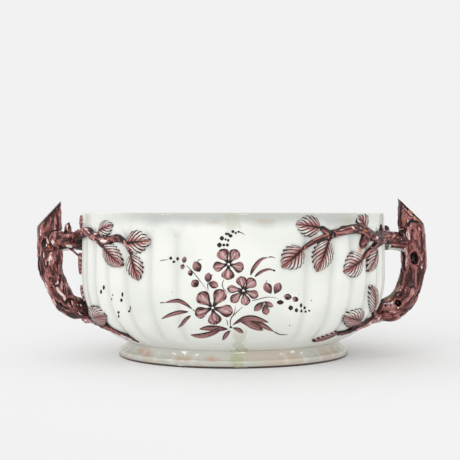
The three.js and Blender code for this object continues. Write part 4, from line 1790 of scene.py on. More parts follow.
@dataclass
class Leaf:
    """A toothed leaf pressed on the wall, with its veins cut in."""

    plan: LeafPlan
    around: float
    mirror: int
    seed: float
    across: int = 26
    along: int = 84
    pitch: float = 4.5
    sweep: float = 0.42
    sink: float = 0.8

    def build(self) -> Piece:
        """Shapes the leaf from a flat sheet.

        Returns:
            The leaf.
        """
        leaf, u, v = sheet(self.across, self.along)
        rim = (np.abs(u) > 0.999) | (v < 0.001) | (v > 0.999)
        inner = 1 - 1 / self.across
        u_in = np.where(np.abs(u) > inner, np.sign(u), u / inner)
        move_points(leaf, self.shape(np.clip(u_in, -1, 1), v, rim))
        note(leaf, "leaf", np.stack([u, v, self.beat(u, v)], axis=1))
        self.close(leaf)
        return leaf

    def axis(self) -> tuple[np.ndarray, float, float]:
        """The way the leaf runs on the unrolled wall, its length, and how wide a degree is there.

        Returns:
            A direction of length 1, the length, and the width of a degree.
        """
        rise = WALL.rise_at(self.plan.stalk[1])
        turn = self.mirror * self.plan.stalk[0]
        ends = WALL.crown(np.array([turn - 0.5, turn + 0.5]), np.full(2, rise))
        per_degree = float(np.linalg.norm(ends[1] - ends[0]))
        across = self.mirror * (self.plan.tip[0] - self.plan.stalk[0]) * per_degree
        run = np.array([across, WALL.rise_at(self.plan.tip[1]) - rise])
        length = float(np.linalg.norm(run))
        return run / length, length, per_degree

    def beat(self, u: np.ndarray, v: np.ndarray) -> np.ndarray:
        """The turn of the wave that teeth, veins and strokes keep to, slanting towards the tip.

        Args:
            u: The share across.
            v: The share along.

        Returns:
            One angle for each point.
        """
        teeth = self.axis()[1] / self.pitch
        from_rib = v - self.sweep * np.abs(u) ** 1.2
        return 2 * math.pi * teeth * from_rib + 1.9 * np.sign(u) + self.seed

    def shape(self, u: np.ndarray, v: np.ndarray, rim: np.ndarray) -> np.ndarray:
        """Lays the sheet on the wall as a leaf.

        Args:
            u: The share across, from -1 to 1.
            v: The share along, from the stalk at 0 to the tip at 1.
            rim: Which points are bedded in the wall.

        Returns:
            The places of the points.
        """
        run, length, per_degree = self.axis()
        rise = WALL.rise_at(self.plan.stalk[1])
        grown = smoothstep(v, 0.06, 0.2) * (1 - smoothstep(v, 0.93, 1.0))
        tooth = 1.0 + 0.12 * np.sin(self.beat(u, v) + 1.1) * grown
        outline = 2.49 * np.clip(v, 0, 1) ** 0.55 * np.clip(1 - v, 0, 1) ** 0.8
        half = self.plan.width / 2 * outline * tooth + 0.7 * (1 - v)
        forward = v + 0.10 * u**2 * np.sin(math.pi * v) * (1 - v)
        x = forward * length * run[0] + u * half * run[1]
        y = forward * length * run[1] - u * half * run[0]
        turn = self.mirror * self.plan.stalk[0] + self.around + x / per_degree
        height = np.interp(rise + y, WALL.distances, WALL.line[:, 1])
        bedded = -WALL.groove_inset(turn, height) - self.sink
        return WALL.crown(turn, rise + y, self.lift(u, v, rim, bedded))

    def lift(self, u: np.ndarray, v: np.ndarray, rim: np.ndarray, bedded: np.ndarray) -> np.ndarray:
        """How far each point stands off the wall: a cushion with a cut midrib and cut veins.

        Args:
            u: The share across.
            v: The share along.
            rim: Which points are bedded in the wall.
            bedded: How far off the wall those are.

        Returns:
            One distance for each point.
        """
        swell = (1 - u**2) ** 0.6 * np.sin(math.pi * np.clip(v, 0, 1)) ** 0.5
        midrib = 0.55 * np.exp(-((u / 0.09) ** 2)) * smoothstep(v, 1.0, 0.85)
        vein = np.sin(self.beat(u, v) + 1.1)
        veins = 0.22 * vein * smoothstep(np.abs(u), 0.08, 0.3)
        top = 1.0 + 1.45 * swell - midrib + veins + self.plan.stand * (1 - v)
        return np.where(rim, bedded, top)

    def close(self, leaf: Piece) -> None:
        """Closes the leaf underneath, inside the wall.

        Args:
            leaf: The shaped sheet.
        """
        with editing(leaf):
            bpy.ops.mesh.select_all(action="DESELECT")
            bpy.ops.mesh.select_non_manifold(extend=False, use_boundary=True)
            bpy.ops.mesh.edge_face_add()
            bpy.ops.mesh.select_all(action="SELECT")
            bpy.ops.mesh.normals_make_consistent(inside=False)


@dataclass(frozen=True)
class GrowthPlan:
    """The twigs and leaves at one corner. Turns are positive on both sides here."""

    twigs: dict[Level, Sequence[Stations]]
    leaves: tuple[LeafPlan, ...]
    touches: Touches


LEFT_TWIG_TOUCHES: Touches = {
    Paint.INK: (
        (1.1, 141.8, 129, 140, 128.6, 138, 129.3, 137.2, 129.3), (0.8, 143.3, 127.2),
        (0.8, 136.8, 127.2, 136.9, 125, 137.6, 123.6), (0.9, 144.7, 115.7),
        (1.1, 137.4, 122.6, 135, 120, 132.5, 118, 130.7, 117.3),
        (0.8, 131.8, 125.3, 130.5, 124.2, 129, 122.8), (0.9, 126.7, 117.8), (0.6, 127.2, 114, 125.7, 113.1),
        (1.1, 125, 117, 124, 115.5, 123.6, 114, 123, 113), (1.2, 109.6, 121.2, 108.6, 121.4),
        (0.9, 105.5, 117.2, 103.4, 116), (0.9, 112.6, 115.4, 110.5, 114, 109.4, 113.2),
        (1, 108.5, 116.5, 106, 114.7, 104, 113, 103, 112), (0.9, 102, 109.6, 101.2, 108.4),
        (0.9, 124.5, 126.5, 123, 126), (0.6, 122, 46.6, 116, 44.4, 110, 41.4, 104, 38),
        (0.6, 118, 40, 110, 36.2, 104, 33, 98, 30), (0.8, 107, 38.2, 106.6, 35.6),
    ),
    Paint.SHADE: (
        (0.7, 144, 124, 143.8, 122.5, 143, 120.5), (0.6, 145.3, 121.5, 144.8, 119.5, 144.5, 117),
        (0.7, 142.7, 121, 142.8, 118.5, 142.5, 116.5), (0.7, 141.4, 122.6, 140.6, 122.3),
        (0.6, 135, 123.7, 133.5, 122.6, 131.5, 121.5),
        (0.7, 136.5, 128, 134, 128.2, 132, 126.7, 130, 125.5, 127, 124.8, 125.5, 125.5),
        (1.1, 110.6, 123.6, 108.4, 123.6, 107, 122.4), (0.7, 111.6, 118.6, 107.6, 118.3),
        (0.6, 106.8, 122.2, 105.5, 121, 103.5, 119, 102, 117.8),
        (0.9, 103.4, 111.4, 102, 109.5, 100.5, 107, 99, 105.3, 98, 104), (0.8, 119.8, 119.6, 117.6, 119),
        (1.2, 116.5, 120.6, 114.2, 120.6), (0.7, 114.6, 116.6, 113.4, 115.6),
    ),
    Paint.TINT: (
        (0.8, 137, 124, 134.4, 122, 132, 120, 130, 118.6), (0.8, 143.4, 129.2),
        (0.9, 146.3, 122.6, 146, 119.6), (0.8, 129, 121, 127.4, 119.6), (0.9, 125.6, 115.6, 125.9, 114.8),
        (0.8, 113.4, 118.4, 110.6, 116.4), (0.8, 106.4, 113, 104.6, 111, 103, 109.4),
        (0.7, 101.6, 110.6, 100.2, 109, 99.4, 107.6), (0.9, 121.4, 122.4, 119, 121.6),
        (0.9, 118, 42.6, 110, 38.8, 104.8, 35.6),
    ),
    Paint.PALE: (
        (0.7, 145, 126.6, 144.6, 129, 142.6, 131, 140, 131.6, 137.8, 130.6), (0.5, 140.4, 128.7),
        (1, 135.6, 127.2, 134, 126.2), (0.9, 128, 124, 126.6, 122.6), (1.1, 127, 115.6),
        (0.5, 128.4, 118.8, 128.4, 117.2), (0.9, 118.2, 116), (0.7, 102.2, 116.2),
        (0.6, 133.2, 124.6, 132, 123.4), (0.6, 113.1, 41.4), (0.6, 125, 45.6, 122, 44.6),
        (0.5, 104.8, 35.6, 100.6, 33.6, 96.4, 31.5),
    ),
    Paint.OCHRE: (
        (0.7, 141.8, 127.5, 140.6, 126.3, 139.4, 125.7), (0.6, 100.4, 116.8, 99.6, 116.9),
    ),
}

RIGHT_TWIG_TOUCHES: Touches = {
    Paint.INK: (
        (1.4, 66, 128.5, 68, 127.8, 70, 127.8, 72, 127.3, 74, 126.3, 75.5, 125, 76.5, 123.5, 77.4, 121.5),
        (1.2, 77, 119.5, 76.5, 117.5, 76, 115), (1, 78, 125, 79.5, 123.5, 80.8, 122, 80.5, 120.5),
        (1.1, 66.4, 126.4, 66, 124.6, 64.6, 122.6, 63, 121), (1.1, 52.4, 110.6, 51.4, 108.4),
        (1.1, 101.6, 129.4, 103.6, 129, 105, 128.6, 107.4, 127.6, 108.8, 127),
        (0.9, 110, 129, 111.5, 126.6, 113, 125, 114, 124), (1.1, 117.5, 123.3, 120, 122.5, 122, 121.5),
        (0.9, 113.7, 112, 115, 113, 117, 114), (1.5, 105.6, 99.6, 104, 98.4),
        (0.7, 112.2, 118, 112.6, 115.6), (1.6, 95.5, 40.6, 91, 38.6, 86, 36.6, 83.5, 35.6),
        (0.6, 110, 49.6, 104, 46.4, 98, 43), (0.6, 108, 43.6, 102, 40.6, 97, 38.6),
    ),
    Paint.SHADE: (
        (0.8, 80, 126.4, 83, 126.2, 86, 127, 88, 127.6, 91, 128.8, 94, 129.7, 98, 130.3, 100, 130),
        (0.8, 82, 125, 84, 124.2, 86.5, 124.8, 88, 125, 92, 126.4, 95, 125.6, 99, 125),
        (0.6, 84, 121, 87, 121.6, 91, 122.2, 96, 122.8, 101, 122.6, 105, 121.8, 107.5, 120.2, 109.3, 117.5),
        (0.8, 74.4, 118, 72, 117.8, 69, 117, 66, 116, 63.5, 115, 61, 114, 58.5, 112.6, 56, 111),
        (0.6, 62.4, 117, 59.5, 115.8, 56.5, 114, 54, 112.3),
        (0.9, 98.5, 128.4, 100, 127.5, 102, 126, 104, 125), (0.7, 108, 123, 110, 121, 111.4, 119),
        (0.6, 109.6, 117.4, 109.4, 115.6, 111, 115), (0.6, 104.3, 120.4, 104, 117.6),
        (1.1, 108, 113, 106.6, 112), (0.6, 105.6, 109.4, 103.6, 109.3),
        (0.7, 112, 109.6, 110, 108.4, 108.5, 106.5, 107.5, 104, 106, 101.5),
        (0.8, 123, 116.4, 120, 114, 117.5, 111.5, 115, 108, 113, 105.5, 112, 103.5),
    ),
    Paint.TINT: (
        (0.9, 82.6, 123, 85, 123.2, 88, 123.6),
        (1.3, 73.4, 121.6, 70, 120.6, 67, 119.7, 64.6, 118.6, 62, 117.4),
        (0.7, 88, 124.4, 93, 125.2, 98, 126.2, 100, 125.8),
        (0.8, 102, 124, 106, 123.3, 109, 121.5, 110.5, 119.5), (0.8, 110, 106.4, 109, 104.4, 108, 102.6),
        (0.6, 118, 113, 115.5, 110.8, 113.5, 108.5), (0.6, 112.6, 122.8, 112.2, 120.4),
        (0.8, 106, 45.6, 100, 42.4, 96.5, 40.8),
    ),
    Paint.PALE: (
        (0.7, 95.6, 128.4, 97.4, 127.2), (0.5, 102.8, 127.5), (0.5, 106.7, 127.9),
        (1, 117.5, 119.6, 118, 118.3), (0.6, 114, 116.6), (0.6, 112.8, 110.4), (0.5, 104, 44.4, 101, 42.8),
        (0.5, 109, 48.6),
    ),
    Paint.OCHRE: (
        (0.7, 106.4, 125.8, 108.6, 124.6),
    ),
}

GROWTH = {
    End.LEFT: GrowthPlan(
        twigs={
            Level.UPPER: (
                (
                    (90, 113, 4.6, 12), (83, 118, 4.6, 5), (75, 121.5, 4.6), (66.5, 122.5, 4.4),
                    (62.7, 119.2, 4.3), (57, 115.8, 3.9), (51.4, 116.1, 3.6), (46.5, 118.1, 3.3),
                    (43, 113.8, 2.3), (40.9, 106.5, 1.9), (40.3, 102.5, 1.5),
                ),
                ((48, 117.2, 2.6), (45, 115.6, 2), (42.2, 114.2, 1.5)),
                ((62, 118, 3), (59.5, 120, 2.3), (58.6, 122, 1.7)),
                ((59, 116.8, 2.8), (57.5, 113, 2.2), (55.6, 109.6, 1.7)),
            ),
            Level.LOWER: (
                (
                    (88, 41, 5, 7), (82, 39, 4.2, 3), (76, 37.4, 3.4), (69, 35, 2.9), (58.5, 30.6, 2.4),
                    (53, 24.8, 2), (51.4, 20.5, 1.2),
                ),
            ),
        },
        leaves=(
            LeafPlan((58.6, 123.6), (49.4, 130.2), 12.5), LeafPlan((42.4, 113.6), (32.4, 116.2), 19),
            LeafPlan((55, 110), (44.2, 93), 17.5), LeafPlan((40.3, 103), (36.7, 80.5), 16),
            LeafPlan((76, 41.5), (57.8, 46), 19.5, 2), LeafPlan((84.5, 101.5), (86, 80), 12, 1),
            LeafPlan((85, 53.5), (85.5, 70), 12), LeafPlan((82, 125.5), (84, 138.5), 10),
        ),
        touches=LEFT_TWIG_TOUCHES,
    ),
    End.RIGHT: GrowthPlan(
        twigs={
            Level.UPPER: (
                (
                    (90, 115, 5, 12), (83, 117.5, 5, 5), (72, 118.5, 4.9), (62, 118.5, 4.9),
                    (54.5, 119.4, 4.7), (49, 125, 4.6), (43.2, 125.9, 4.5), (38.6, 125, 4.2),
                    (34, 122.4, 3.7), (31.6, 122.6, 2.9), (27.9, 127, 2.2),
                ),
                ((33.6, 121.5, 3), (28, 117.8, 2.5), (24.4, 114.6, 2.2), (21.1, 109.6, 1.8)),
                ((33.4, 122, 2.6), (32, 118.8, 2.1), (31.1, 116.4, 1.8)),
                ((70, 115.5, 4), (62.4, 112.1, 3.2), (55.4, 107.6, 2.7), (50.8, 102.4, 2.3), (48, 98, 1.8)),
                ((50.6, 119.5, 5), (49, 113.8, 4.4), (48, 110, 3)),
                ((66, 119.5, 3), (66, 125.5, 2), (66, 129, 1.4)),
                ((51, 122.4, 3.2), (50.4, 125.6, 2.4), (50.1, 128, 1.6)),
            ),
            Level.LOWER: (
                (
                    (88, 40, 6, 7), (80, 38.6, 5, 3), (70, 37.4, 4), (62.5, 36, 3.6), (55.2, 34, 3.2),
                    (49.4, 31, 2.9), (44.2, 29.6, 2.2),
                ),
                ((76, 40, 3.4), (69, 43, 2.8), (65.4, 47, 2)),
            ),
        },
        leaves=(
            LeafPlan((27.6, 127.3), (18.2, 131), 17), LeafPlan((20.6, 109.2), (13.1, 93), 20),
            LeafPlan((31, 116), (26.1, 88.5), 19.5), LeafPlan((50.6, 124.5), (46.2, 138), 21),
            LeafPlan((48.6, 98.6), (37.8, 87.5), 21), LeafPlan((60.6, 106.5), (52.4, 86), 16),
            LeafPlan((64.6, 47), (54.8, 73.6), 15.5), LeafPlan((56, 40.4), (41.2, 46.2), 18.5),
            LeafPlan((43.6, 30.4), (32.6, 23.6), 7),
        ),
        touches=RIGHT_TWIG_TOUCHES,
    ),
}


# Painted flowers


@dataclass(frozen=True)
class Panel:
    """The smooth panel as the camera sees it, with places from the sketch's top left corner."""

    left: float = -80.7
    top: float = 151.9
    plane: float = PANEL_PLANE
    rounds: int = 40
    stride: float = 0.6

    def onto_wall(self, sketch: np.ndarray, lift: float, around: float) -> np.ndarray:
        """Carries points of the sketch along the line of sight to the wall.

        Args:
            sketch: Rows of distances right and down, in millimetres.
            lift: How far off the wall they lie.
            around: Degrees to turn them round the bowl.

        Returns:
            Rows of x, y and z.
        """
        eye = np.array(CAMERA.place)
        depth = np.full(len(sketch), self.plane)
        aimed = np.column_stack([self.left + sketch[:, 0], depth, self.top - sketch[:, 1]])
        ray = (aimed - eye) / (self.plane - eye[1])
        for _ in range(self.rounds):
            seen = eye + ray * (depth - eye[1])[:, None]
            radius = WALL.radius_at(seen[:, 2])
            turn = np.degrees(np.arcsin(np.clip(seen[:, 0] / radius, -1, 1)))
            inset = WALL.groove_inset(turn, seen[:, 2])
            wall = (inset - WALL.oval * radius) * np.cos(np.radians(turn))
            depth += self.stride * (wall - depth)
        rise = WALL.rise_at(seen[:, 2])
        off = WALL.crown(turn + around, rise, lift) - WALL.crown(turn + around, rise)
        angle = np.radians(turn + around)
        inset = WALL.groove_inset(turn, seen[:, 2])
        x = (radius - inset) * np.sin(angle)
        y = (inset - WALL.oval * radius) * np.cos(angle)
        return np.column_stack([x, y, seen[:, 2]]) + off


@dataclass(frozen=True)
class Stroke:
    """One touch of the brush: a path on the sketch and its full width along it."""

    path: Sequence[tuple[float, float]]
    width: float
    blunt: float = 0.6
    notch: float = 0.0
    side: int = 1

    def build(self, panel: Panel, around: float, seed: float, lift: float) -> Piece:
        """Lays the stroke on the wall.

        Args:
            panel: Where the sketch lies.
            around: Degrees to turn it round the bowl.
            seed: A number of its own, which shifts its streaks.
            lift: How far off the wall it lies.

        Returns:
            The stroke.
        """
        points = np.array(self.path, dtype=float)
        rows = int(np.clip(travelled(points)[-1] / 1.1, 6, 40))
        patch, u, v = sheet(8 if self.width > 2.5 else 4, rows)
        spine = np.linspace(points[0], points[1], 12)
        if len(points) > 2:
            flat = np.column_stack([points, np.zeros(len(points))])
            spine = Limb(flat, np.ones(len(points))).curve_points(10)[:, :2]
        places = travelled(spine)
        ahead = places[-1] * (v - self.notch * (1 - np.abs(u)) * smoothstep(v, 0.5, 1.0))
        way = between(ahead, places, unit(np.gradient(spine, axis=0)))
        half = self.width / 2 * np.sin(math.pi * np.clip(v, 0.002, 0.998) ** self.blunt) ** 0.7
        beside = np.column_stack([-way[:, 1], way[:, 0]]) * (u * half)[:, None]
        move_points(patch, panel.onto_wall(between(ahead, places, spine) + beside, lift, around))
        note(patch, "stroke", np.stack([self.side * u, v, np.full(len(u), seed)], axis=1))
        with editing(patch):
            bpy.ops.mesh.normals_make_consistent(inside=False)
        if (normals_of(patch)[:, :2] * points_of(patch)[:, :2]).sum() < 0:
            with editing(patch):
                bpy.ops.mesh.flip_normals()
        return patch


def brush(width: float, blunt: float, *path: float, notch: float = 0.0, side: int = 1) -> Stroke:
    """A stroke by its width, how late it widens, and the distances right and down along its path."""
    return Stroke(list(zip(path[::2], path[1::2])), width, blunt, notch, side)


@dataclass(frozen=True)
class Flower:
    """An open flower on the sketch: the middle of its eye, and each petal's end and width."""

    eye: tuple[float, float]
    petals: Sequence[tuple[float, float]]
    widths: Sequence[float]
    notched: Sequence[int] = ()

    def strokes(self) -> list[Stroke]:
        """The petals, from the eye outwards.

        Returns:
            One stroke for each.
        """
        made = []
        for number, (petal, width) in enumerate(zip(self.petals, self.widths)):
            way = np.array(petal) - self.eye
            notch = 0.22 if number in self.notched else 0.07
            ends = [*(self.eye + 0.10 * way), *(self.eye + way)]
            made.append(brush(1.06 * width, 1.75, *ends, notch=notch, side=1 - 2 * (number % 2)))
        return made

    def rays(self) -> list[Stroke]:
        """Dark lines from the eye out into each petal.

        Returns:
            Three strokes for each petal.
        """
        made = []
        for number, petal in enumerate(self.petals):
            way = np.array(petal) - self.eye
            for lean, length in ((-0.3, 0.5), (0.02, 0.3), (0.32, 0.42)):
                turned = np.array([way[0] - lean * way[1], way[1] + lean * way[0]])
                reach = length * (1 + 0.2 * math.sin(2.3 * number + 5 * lean))
                made.append(brush(1.25, 0.5, *(self.eye + 0.08 * turned), *(self.eye + reach * turned)))
        return made

    def specks(self) -> list[Stroke]:
        """Small dark dots in a ring round the eye.

        Returns:
            Seven strokes.
        """
        x, y = self.eye
        middles = [(x + 1.7 * math.sin(angle), y + 1.7 * math.cos(angle)) for angle in range(7)]
        return [brush(1.5, 1.0, across, down - 0.8, across, down + 0.8) for across, down in middles]


@dataclass
class Bouquet:
    """The flowers painted on a panel. A dot is a place on the sketch, a width and a height."""

    flowers: Sequence[Flower] = (
        Flower(
            (68.5, 55.7),
            ((61.2, 42.6), (76, 43), (81.7, 59.6), (67.6, 69.4), (54.8, 58.6)),
            (10.6, 9.6, 9.4, 11, 8.6),
        ),
        Flower(
            (81.3, 78.6),
            ((78.6, 66), (91.4, 68.6), (94.4, 83.6), (83.9, 91.6), (70.4, 88.6), (66.9, 76.6)),
            (9, 9.4, 7.4, 8.2, 7.6, 6.6),
        ),
        Flower(
            (54.6, 93.5),
            ((42.3, 80.4), (63.8, 77.6), (72.4, 97.4), (57.2, 108.2), (39.2, 99.4)),
            (12, 11.6, 10.4, 11.4, 9.8),
            (3,),
        ),
    )
    buds: Sequence[Stroke] = (
        brush(8, 1, 43.4, 62.2, 38.8, 53.2), brush(7.6, 1, 41.8, 75, 37, 69.4),
        brush(6.4, 1, 50.3, 71.4, 51.2, 62.8), brush(6.8, 1.2, 50.6, 71.8, 59.6, 74.6),
        brush(4.2, 1, 29.4, 54.6, 30.4, 48.8), brush(4.2, 1, 29.2, 55.4, 27.4, 60),
        brush(4.4, 1, 36.2, 65.8, 34.4, 60.6), brush(7.6, 1.3, 105.6, 81.6, 100, 72.2),
        brush(7.2, 1.3, 108.4, 81.8, 113.2, 72), brush(6, 1.2, 99.2, 88.4, 90.6, 96.4),
        brush(4.6, 1.2, 99, 88.2, 107.4, 92.8), brush(6.8, 1.4, 99.6, 90.4, 101.6, 100),
        brush(5.6, 1, 123.6, 84.8, 116.4, 83.8), brush(4.8, 1, 129.2, 87.2, 124, 85.6),
    )
    blades: Sequence[Stroke] = (
        brush(3.6, 0.8, 87.6, 65.4, 88.7, 62, 92.2, 56.4, 97, 51.5, 102.6, 49.8, side=-1),
        brush(2.7, 0.7, 91.1, 66.8, 94.2, 64, 99.1, 61.3, 104, 60.2, 108.6, 61.4, side=-1),
        brush(3.7, 1.1, 37.2, 94.6, 31.6, 90.4, 24.7, 87.2, 19.8, 87.4, 13.6, 88.6),
        brush(3.7, 0.9, 33.7, 96.7, 24.7, 97.2, 17, 99.6, 10.1, 102.8),
        brush(3.5, 0.9, 35.8, 99.8, 31.6, 103, 27.5, 107.2, 24, 110.6),
        brush(5.4, 1, 68, 112, 57.4, 111.4, 50.4, 111, 43, 111.8),
        brush(4.8, 1, 62, 112.6, 54, 115.6, 44, 117.6, 35, 116.8),
        brush(4.6, 0.9, 61, 111.6, 55.6, 114.2, 50.4, 117.6, notch=0.1),
        brush(4.8, 1.1, 71.7, 108.6, 76.2, 105.7, 81.7, 103, 88.7, 102.4, 95.6, 103.9, 103.5, 106.6, side=-1),
        brush(7.4, 1.1, 77, 104.6, 84.4, 106, 92, 109.6, 98.6, 113.4, notch=0.1, side=-1),
        brush(4.4, 0.7, 92, 105.6, 99, 109.4, 107.8, 114.4, side=-1),
        brush(4, 1, 69.9, 113.2, 66.4, 116.8, 63.2, 121.8),
        brush(3.8, 1.3, 71.6, 110.8, 76.5, 112.4, 81.4, 115.4, side=-1),
    )
    stems: Sequence[Stroke] = (
        brush(0.6, 0.6, 31.6, 56.4, 37.9, 62.6, 43.4, 69.6, 47.6, 75.1, 50.4, 79.3),
        brush(0.7, 0.6, 50.2, 71.6, 50.4, 75.6, 50.8, 79.2), brush(0.6, 0.6, 8.7, 52.6, 13, 51.8, 17, 51.5),
        brush(0.9, 0.6, 8.7, 88.8, 14.4, 88.5), brush(0.9, 0.6, 102.6, 49.8, 106.1, 49.4, 109.4, 50.7),
        brush(0.6, 0.6, 88, 87.6, 94.2, 86.2, 100.5, 84.6, 107.4, 84.6, 113, 86),
        brush(0.8, 0.6, 70.2, 109.8, 69.9, 105, 71.2, 101.5, 74, 98.7, 81.7, 91.8),
        brush(0.6, 0.6, 70.2, 103.6, 73.3, 98, 74.7, 91.1),
        brush(0.6, 0.6, 67.8, 109.1, 67.1, 105, 65.7, 102.9),
        brush(0.7, 0.6, 64.3, 68.9, 62.9, 73.1, 64.3, 77.2, 69.9, 82.1),
        brush(0.6, 0.6, 77.4, 27.8, 80.4, 28.8, 83, 30.7),
        brush(0.9, 0.6, 106.8, 113.8, 113, 116.9, 120.5, 117.2),
        brush(0.6, 0.6, 41, 53.8, 43.4, 51.4, 45.8, 51.8), brush(0.7, 0.6, 52.4, 65.4, 55.4, 64.8),
        brush(0.5, 0.6, 101.2, 73, 101.4, 69.4), brush(0.8, 0.6, 37.4, 94.8, 39.4, 96.4),
    )
    dots: Stations = (
        (60.5, 39, 4.2, 4.4), (64.3, 39, 2.6, 2.8), (67.4, 39, 2.8, 3), (62.6, 33.2, 3.8, 4.2),
        (65.8, 34.2, 1.8, 2.2), (68.1, 35, 2.2, 2.8), (66.4, 29.3, 2.4, 2.4), (68.3, 29.7, 2.4, 2.6),
        (70.2, 31.1, 3.4, 3.2), (72.1, 27.4, 2.8, 2.8), (74.6, 28.6, 2.1, 2.1), (77.1, 27.6, 2.6, 1.8),
        (18.1, 50.3, 2.4, 3), (20.5, 53.4, 2.5, 2.3), (23.6, 50.8, 2.8, 3.4), (42.6, 60.4, 3.2, 3),
        (40.2, 73, 3.6, 3.8), (35.6, 64.2, 2.8, 3), (113.4, 89, 6.2, 4.2), (119.2, 85.4, 3.4, 3.2),
        (128, 86.6, 3, 3.8), (122.6, 93.9, 4.2, 4.6), (127.7, 96, 3.2, 3.8), (132.1, 91.8, 2.6, 4),
        (132.5, 96.7, 2.4, 2.8), (135.6, 93.9, 2, 2.9), (136.3, 97.3, 1.8, 2.2), (139.2, 96.5, 1.8, 1.8),
        (108, 61.3, 2.2, 1.9), (70.3, 110.3, 2.4, 2.2), (141, 87.6, 0.9, 0.9), (121.6, 109.2, 0.9, 0.9),
        (130.1, 82, 0.8, 0.8), (-39.6, 75.3, 1.5, 4.2), (-41.4, 79, 1.6, 4), (-31.6, 81.9, 1.2, 1.6),
        (-33.1, 85.4, 1.6, 2.4), (-23.7, 81.4, 1.4, 4.4), (-24.3, 86.3, 1.9, 3.4), (-17.8, 93, 1.4, 3.6),
        (-18.6, 95.8, 1.5, 2.4), (-26.5, 96.8, 2.1, 2.6), (-26.5, 100.1, 1.6, 3.2),
    )
    panel: Panel = Panel()

    def layers(self) -> dict[str, tuple[Sequence[Stroke], float]]:
        """The strokes of each finish, and how far off the wall they lie.

        Returns:
            For each finish's name, the strokes and the distance.
        """
        petals = [stroke for flower in self.flowers for stroke in flower.strokes()]
        rays = [stroke for flower in self.flowers for stroke in flower.rays()]
        eyes = [stroke for flower in self.flowers for stroke in flower.specks()]
        dots = [brush(wide, 1.0, x, y - tall / 2, x, y + tall / 2) for x, y, wide, tall in self.dots]
        return {
            "blades": (self.blades, 0.10),
            "petals": (petals, 0.14),
            "buds": (self.buds, 0.14),
            "ink": ([*self.stems, *rays, *eyes, *dots], 0.18),
        }

    def build(self, face: Face, finishes: dict[str, Finish]) -> None:
        """Paints the bouquet on one side, in one piece for each finish.

        Args:
            face: The side of the bowl.
            finishes: The finish of the blades, petals, buds and ink.
        """
        for name, (strokes, lift) in self.layers().items():
            build = partial(Stroke.build, panel=self.panel, around=face.around, lift=lift)
            made = [build(stroke, seed=0.37 * number) for number, stroke in enumerate(strokes)]
            finish(merged(made), f"{face.value}_painted_{name}", finishes[name], Slot.LEAF)


# The studio


@dataclass(frozen=True)
class SoftBox:
    """A soft lamp, with its place and size in metres."""

    place: Place
    size: tuple[float, float]
    watts: float
    aim: Place = (0.0, 0.0, 0.08)

    def build(self) -> None:
        """Hangs the lamp and turns it to what it lights."""
        bpy.ops.object.light_add(type="AREA", location=self.place)
        lamp = bpy.context.object
        lamp.rotation_euler = (Vector(self.aim) - Vector(self.place)).to_track_quat("-Z", "Y").to_euler()
        lamp.data.shape = "RECTANGLE"
        lamp.data.size, lamp.data.size_y = self.size
        lamp.data.energy = self.watts


WHITE = (1.0, 1.0, 1.0, 1.0)


@dataclass(frozen=True)
class Studio:
    """A pale floor that runs into a pale backdrop, under soft light from the left.

    From shade_near to shade_far, in metres from shade_middle, the floor fades into the backdrop
    where the camera or a reflection sees it.
    """

    backdrop: float = 0.885
    ambient: float = 1.09
    floor_colour: float = 0.74
    # painted light: the floor glows this much for every ray, so it lights the bowl from below like a lamp
    floor_glow: float = 0.36
    floor_radius: float = 4.0
    shade_middle: Place = (0.12, 0.0, 0.0)
    shade_near: float = 0.08
    shade_far: float = 0.5
    lamps: tuple[SoftBox, ...] = (
        SoftBox((-1.5, -1.4, 0.9), (0.25, 0.5), 7.0),
        SoftBox((1.6, -1.1, 0.9), (0.2, 0.45), 3.0),
        SoftBox((0.15, -1.9, 0.75), (0.3, 0.25), 3.0),
        SoftBox((0.0, 0.5, 1.9), (1.4, 1.0), 1.5),
    )

    def build(self) -> None:
        """Sets up the floor, the backdrop and the lamps."""
        for lamp in self.lamps:
            lamp.build()
        self.world()
        self.floor()
        bpy.context.scene.view_settings.view_transform = "Standard"

    @staticmethod
    def seen(nodes: Nodes) -> Value:
        """1 for what the camera or a reflection sees, and 0 for what only lights."""
        camera, glossy = (nodes.add("LightPath", f"Is {kind} Ray") for kind in ("Camera", "Glossy"))
        return camera.most(glossy)

    def world(self) -> None:
        """Shows the backdrop to the camera and in reflections, and lights softly besides."""
        world = bpy.data.worlds.new("studio")
        bpy.context.scene.world = world
        world.use_nodes = True
        nodes = Nodes(world.node_tree)
        seen = self.seen(nodes).most(nodes.add("LightPath", "Is Transmission Ray"))
        levels = {"Value": seen, "To Min": self.ambient, "To Max": self.backdrop}
        sky = world.node_tree.nodes["Background"].inputs
        nodes.feed(sky["Strength"], nodes.add("MapRange", "Result", levels))
        nodes.feed(sky["Color"], WHITE)

    def floor(self) -> None:
        """A broad round floor that fades into the backdrop away from the object."""
        bpy.ops.object.select_all(action="DESELECT")
        bpy.ops.mesh.primitive_circle_add(vertices=96, radius=self.floor_radius, fill_type="NGON")
        floor = bpy.context.object
        floor.name = "floor"
        with editing(floor):
            bpy.ops.mesh.inset(thickness=self.floor_radius / 4)
        floor.data.materials.append(self.floor_finish())

    def floor_finish(self) -> Finish:
        """Matt and pale, with a glow that takes over far from the object; the glow is painted light.

        Returns:
            The material.
        """
        shader = Shader("pale_floor")
        at, level = shader.place(), self.floor_colour
        clean, worn = (level, level, level, 1.0), (level * 0.99, level * 0.99, level * 0.985, 1.0)
        shader.paint(shader.blend(at.grain(60), clean, worn), 0.9, 0.0)
        far = at.vector("DISTANCE", self.shade_middle, "Value")
        shown = far.ease(self.shade_near, self.shade_far, 0.1, 1.0)
        # painted light: the glow lightens the object's shadow for the camera, more on the left, and lights
        # the bowl for other rays
        fade = self.seen(shader) * (shown - self.floor_glow) + self.floor_glow
        plain = Value(shader, shader.surface.outputs["BSDF"])
        glow = shader.add("Emission", "Emission", {"Color": WHITE, "Strength": self.backdrop})
        mixed = shader.add("MixShader", 0, {0: fade, 1: plain, 2: glow})
        shader.feed(shader.tree.nodes["Material Output"].inputs["Surface"], mixed)
        return shader.material


# The whole object


